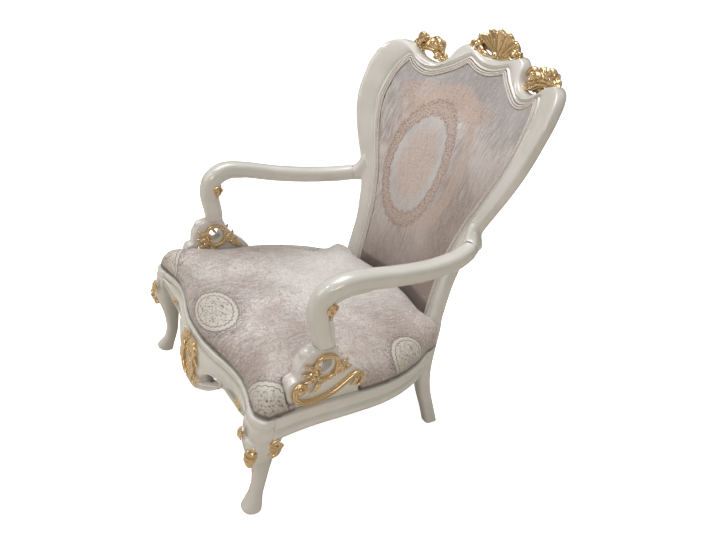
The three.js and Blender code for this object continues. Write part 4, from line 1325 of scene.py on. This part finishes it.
def opening(inset, count=220):
    """Closed outline (x, z) of the back's opening, moved inward."""
    side = [(read(POST, z), z) for z in [PANEL_BOTTOM, *np.arange(360, 990, 15.0)]]
    rows = crest_curve(np.linspace(0, len(CREST_HALF) - 1, 3 * len(CREST_HALF)))
    side = np.array(side + [(x, z) for x, z in rows[:, :2]])
    bottom = np.column_stack([np.linspace(0, side[0, 0], 20)[:-1], np.full(19, PANEL_BOTTOM)])
    loop = resample(mirrored(np.concatenate([bottom, side])), count)
    along = unit(np.roll(loop, -1, 0) - np.roll(loop, 1, 0))
    return loop + inset * np.column_stack([-along[:, 1], along[:, 0]])


def back_ring(loop, share, deep):
    """Ring at a share of the way out from the middle, on the hollow of the back."""
    x = loop[:, 0] * share
    z = PANEL_MIDDLE + (loop[:, 1] - PANEL_MIDDLE) * share
    return np.column_stack([x, back_y(x, z) + deep, z])


def back_pad():
    """Closed pad, flat behind and crowned in front; it is thinnest at its sewn edge."""
    loop = opening(PAD_INSET)
    rings = [back_ring(loop, s, PAD_REAR) for s in REAR_SHARES]
    rings += [back_ring(loop, s, PAD_EDGE - PAD_CROWN * (1 - s ** 2.8))
              for s in (1, .985, .955, .9, .82, .72, .6, .46, .3, .15, .03)]
    return loft(rings)


def swell(piece, voxel, cap, pin):
    """Blows a pad up with Blender's cloth; pin holds its edge, cap limits a point's move in mm."""
    melt(piece, voxel, 0)
    start = positions(piece)
    weigh(piece, "held", pin(start * 1000 + np.array([0, MIDDLE_Y, 0])))
    cloth = piece.modifiers.new("cloth", "CLOTH")
    cloth.settings.quality = 3
    cloth.settings.use_pressure = True
    cloth.settings.uniform_pressure_force = 4.0
    cloth.settings.vertex_group_mass = "held"
    cloth.settings.effector_weights.gravity = 0
    cloth.point_cache.frame_start, cloth.point_cache.frame_end = 1, 20
    for number in range(1, 21):
        scene.frame_set(number)
    bake(piece)
    scene.frame_set(1)
    move = positions(piece) - start
    size = np.linalg.norm(move, axis=1, keepdims=True)
    move *= np.minimum(1, cap / 1000 / np.maximum(size, 1e-9))
    piece.data.vertices.foreach_set("co", (start + move).ravel())
    piece.data.update()
    print(piece.name, "swelled by up to", round(float(size.max() * 1000), 1), "mm, capped at", cap)


RIM = opening(PAD_INSET)


def near_rim(points):
    """1 at the pad's sewn edge, 0 well inside it."""
    away = np.min([np.hypot(points[:, 0] - x, points[:, 2] - z) for x, z in RIM], axis=0)
    return 1 - smoothstep(8, 30, away)


pad = make("back_pad", back_pad())
swell(pad, 6, 6, near_rim)
pad.modifiers.new("soften", "SMOOTH").iterations = 4
pad.modifiers.new("fine", "SUBSURF").levels = 1
bake(pad)
thin(pad, .35)
dress(pad, back_cloth, "damask", "back_upholstery")

REAR_FACE = ((1, 46), (.99, 48.6), (.9, 49.4), (.6, 49.6), (.3, 49.6), (.02, 49.6))
rear_loop = opening(1)
rear = make("outside_back", loft(
    [back_ring(rear_loop, s, 44 if s == 1 else 42) for s in REAR_SHARES]
    + [back_ring(rear_loop, s, d) for s, d in REAR_FACE]))
dress(rear, outside_cloth, "outside_cloth", "outside_back_panel")


def cord_loop(inset, deep, radius):
    """Round cord sewn along the edge of the back's opening."""
    loop = opening(inset, 420)
    centre = np.column_stack([loop[:, 0], back_y(loop[:, 0], loop[:, 1]) + deep, loop[:, 1]])
    along = unit(np.roll(centre, -1, 0) - np.roll(centre, 1, 0))
    side = unit(np.cross(along, [0, 1, 0]))
    out = np.cross(side, along)
    b = np.linspace(0, 2 * np.pi, 10, endpoint=False)[:, None]
    rings = centre[:, None] + radius * (side[:, None] * np.cos(b) + out[:, None] * np.sin(b))
    length = np.linalg.norm(np.roll(centre, -1, 0) - centre, axis=1).sum()
    print("cord of", round(2 * radius, 1), "mm,", round(length / 1000, 2), "m long")
    return loft(np.concatenate([rings, rings[:1]]), caps=False)


piping = make("back_piping", join_parts([cord_loop(3.2, 3.4, 3.2), cord_loop(9.4, 2.4, 3.0)]))
dress(piping, cord, "damask")
print("inside back ready", len(pad.data.vertices))

# %% [markdown]
# The seat is a sprung, crowned cushion that runs over the rails: flat on top, rounded over
# the edges and tacked down all round to the rebate at the top of the rails.

# %% Seat
SEAT_POINTS = 260


def seat_plan(inset):
    """Closed outline (x, y) of the seat's edge, drawn in between the stiles at the rear."""
    right = [(x, read(FRONT, x) + 2) for x in np.linspace(0, 366, 30)]
    right += [(read(SIDE, y) - 2, y) for y in np.linspace(-345, 210, 60)]
    right += [(303, 248), (286, 272), (262, 284), (190, 277), (90, 298), (0, 305)]
    loop = resample(mirrored(np.array(right)), SEAT_POINTS)
    span = np.hypot(loop[:, 0], loop[:, 1] - SEAT_MIDDLE)
    share = 1 - inset * (1 - .86 * smoothstep(225, 262, loop[:, 1])) / span
    return np.column_stack([loop[:, 0] * share, SEAT_MIDDLE + (loop[:, 1] - SEAT_MIDDLE) * share])


# how far in from the edge, and the height
SEAT_ROWS = [(60, 327), (4, 327), (1.2, 330), (0.2, 338), (1.5, 350), (6, 362), (15, 374), (30, 384),
             (52, 391), (85, 397), (130, 401), (190, 404), (250, 405)]


def seat():
    middle = seat_plan(0) * .06 + np.array([0, SEAT_MIDDLE * .94])
    rings = [(middle, 327.0)] + [(seat_plan(inset), z) for inset, z in SEAT_ROWS] + [(middle, 405.5)]
    return loft([np.column_stack([plan, np.full(SEAT_POINTS, z)]) for plan, z in rings])


def bracket_notch(low, high, y0, y1):
    """Box round the foot of an arm bracket, where the cushion is cut to pass it."""
    return loft([[(337, y0, z), (460, y0, z), (460, y1, z), (337, y1, z)] for z in (low, high)])


cushion = make("seat_cushion", seat())
swell(cushion, 8, 5, lambda points: (points[:, 2] < 332) * 1.0)
for notch in (bracket_notch(300, 346, -267, -74), bracket_notch(345, 520, -292.5, -71)):
    cut_with(cushion, notch)
    cut_with(cushion, flip_x(notch))
melt(cushion, 4.0, 3)
thin(cushion, .45)
dress(cushion, seat_cloth, "damask", "seat_upholstery")
print("seat ready", len(cushion.data.vertices))

# %% [markdown]
# A plain pale floor and soft light from large lamps, as in a studio. Two small lamps put the
# bright sparks on the lacquer. The floor glows a little to the camera, so it looks white, but
# throws a warmer and darker light back on the chair, as a real floor would.

# %% Floor and light
floor_mesh = bpy.data.meshes.new("floor")
FAR, WALL = 300.0, 220.0
corners = [(-FAR, -FAR), (FAR, -FAR), (FAR, FAR), (-FAR, FAR)]
floor_mesh.from_pydata([(x, y, 0) for x, y in corners] + [(x, y, WALL) for x, y in corners], [],
                       [(0, 1, 2, 3)] + [(i, (i + 1) % 4, (i + 1) % 4 + 4, i + 4) for i in range(4)])
floor = bpy.data.objects.new("floor", floor_mesh)
scene.collection.objects.link(floor)
floor_paint, tree, shader = material_of("floor_paint", .9)
pale = mix(tree, noise_node(tree, object_space(tree), 2), (.84, .84, .84), (.87, .87, .87))
seen = node(tree, "ShaderNodeLightPath").outputs["Is Camera Ray"]
filled(tree, shader, ("Specular IOR Level", .1), ("Emission Color", (1, 1, 1)),
       ("Base Color", mix(tree, seen, (.76, .70, .635), pale)), ("Emission Strength", product(tree, seen, .92)))
floor_mesh.materials.append(floor_paint)

world = bpy.data.worlds.new("studio")
scene.world = world
world.use_nodes = True
for label, given in (("Color", (1, .95, .885)), ("Strength", .43)):
    feed(world.node_tree, world.node_tree.nodes["Background"].inputs[label], given)


def lamp(name, at, size, power, colour=(1, 1, 1), aim=(0, 0, .5)):
    data = bpy.data.lights.new(name, "AREA")
    data.size, data.energy, data.color = size, power, colour
    made = bpy.data.objects.new(name, data)
    scene.collection.objects.link(made)
    made.location = at
    made.rotation_euler = (Vector(aim) - Vector(at)).to_track_quat("-Z", "Y").to_euler()


lamp("key", (-.9, -.3, 3.7), 2.2, 66, (.96, .98, 1))
lamp("side", (3.4, -1.0, 2.2), 1.2, 22, (1, .97, .92))
lamp("front", (-1.6, -3.4, 2.2), 1.6, 17, (1, .97, .93), aim=(0, 0, .4))
lamp("spark_left", (-1.2, -2.2, 3.0), .35, 9)
lamp("spark_right", (2.4, -2.2, 2.6), .35, 6)
scene.view_settings.view_transform = "Standard"
scene.view_settings.look = "None"
print("stage ready")
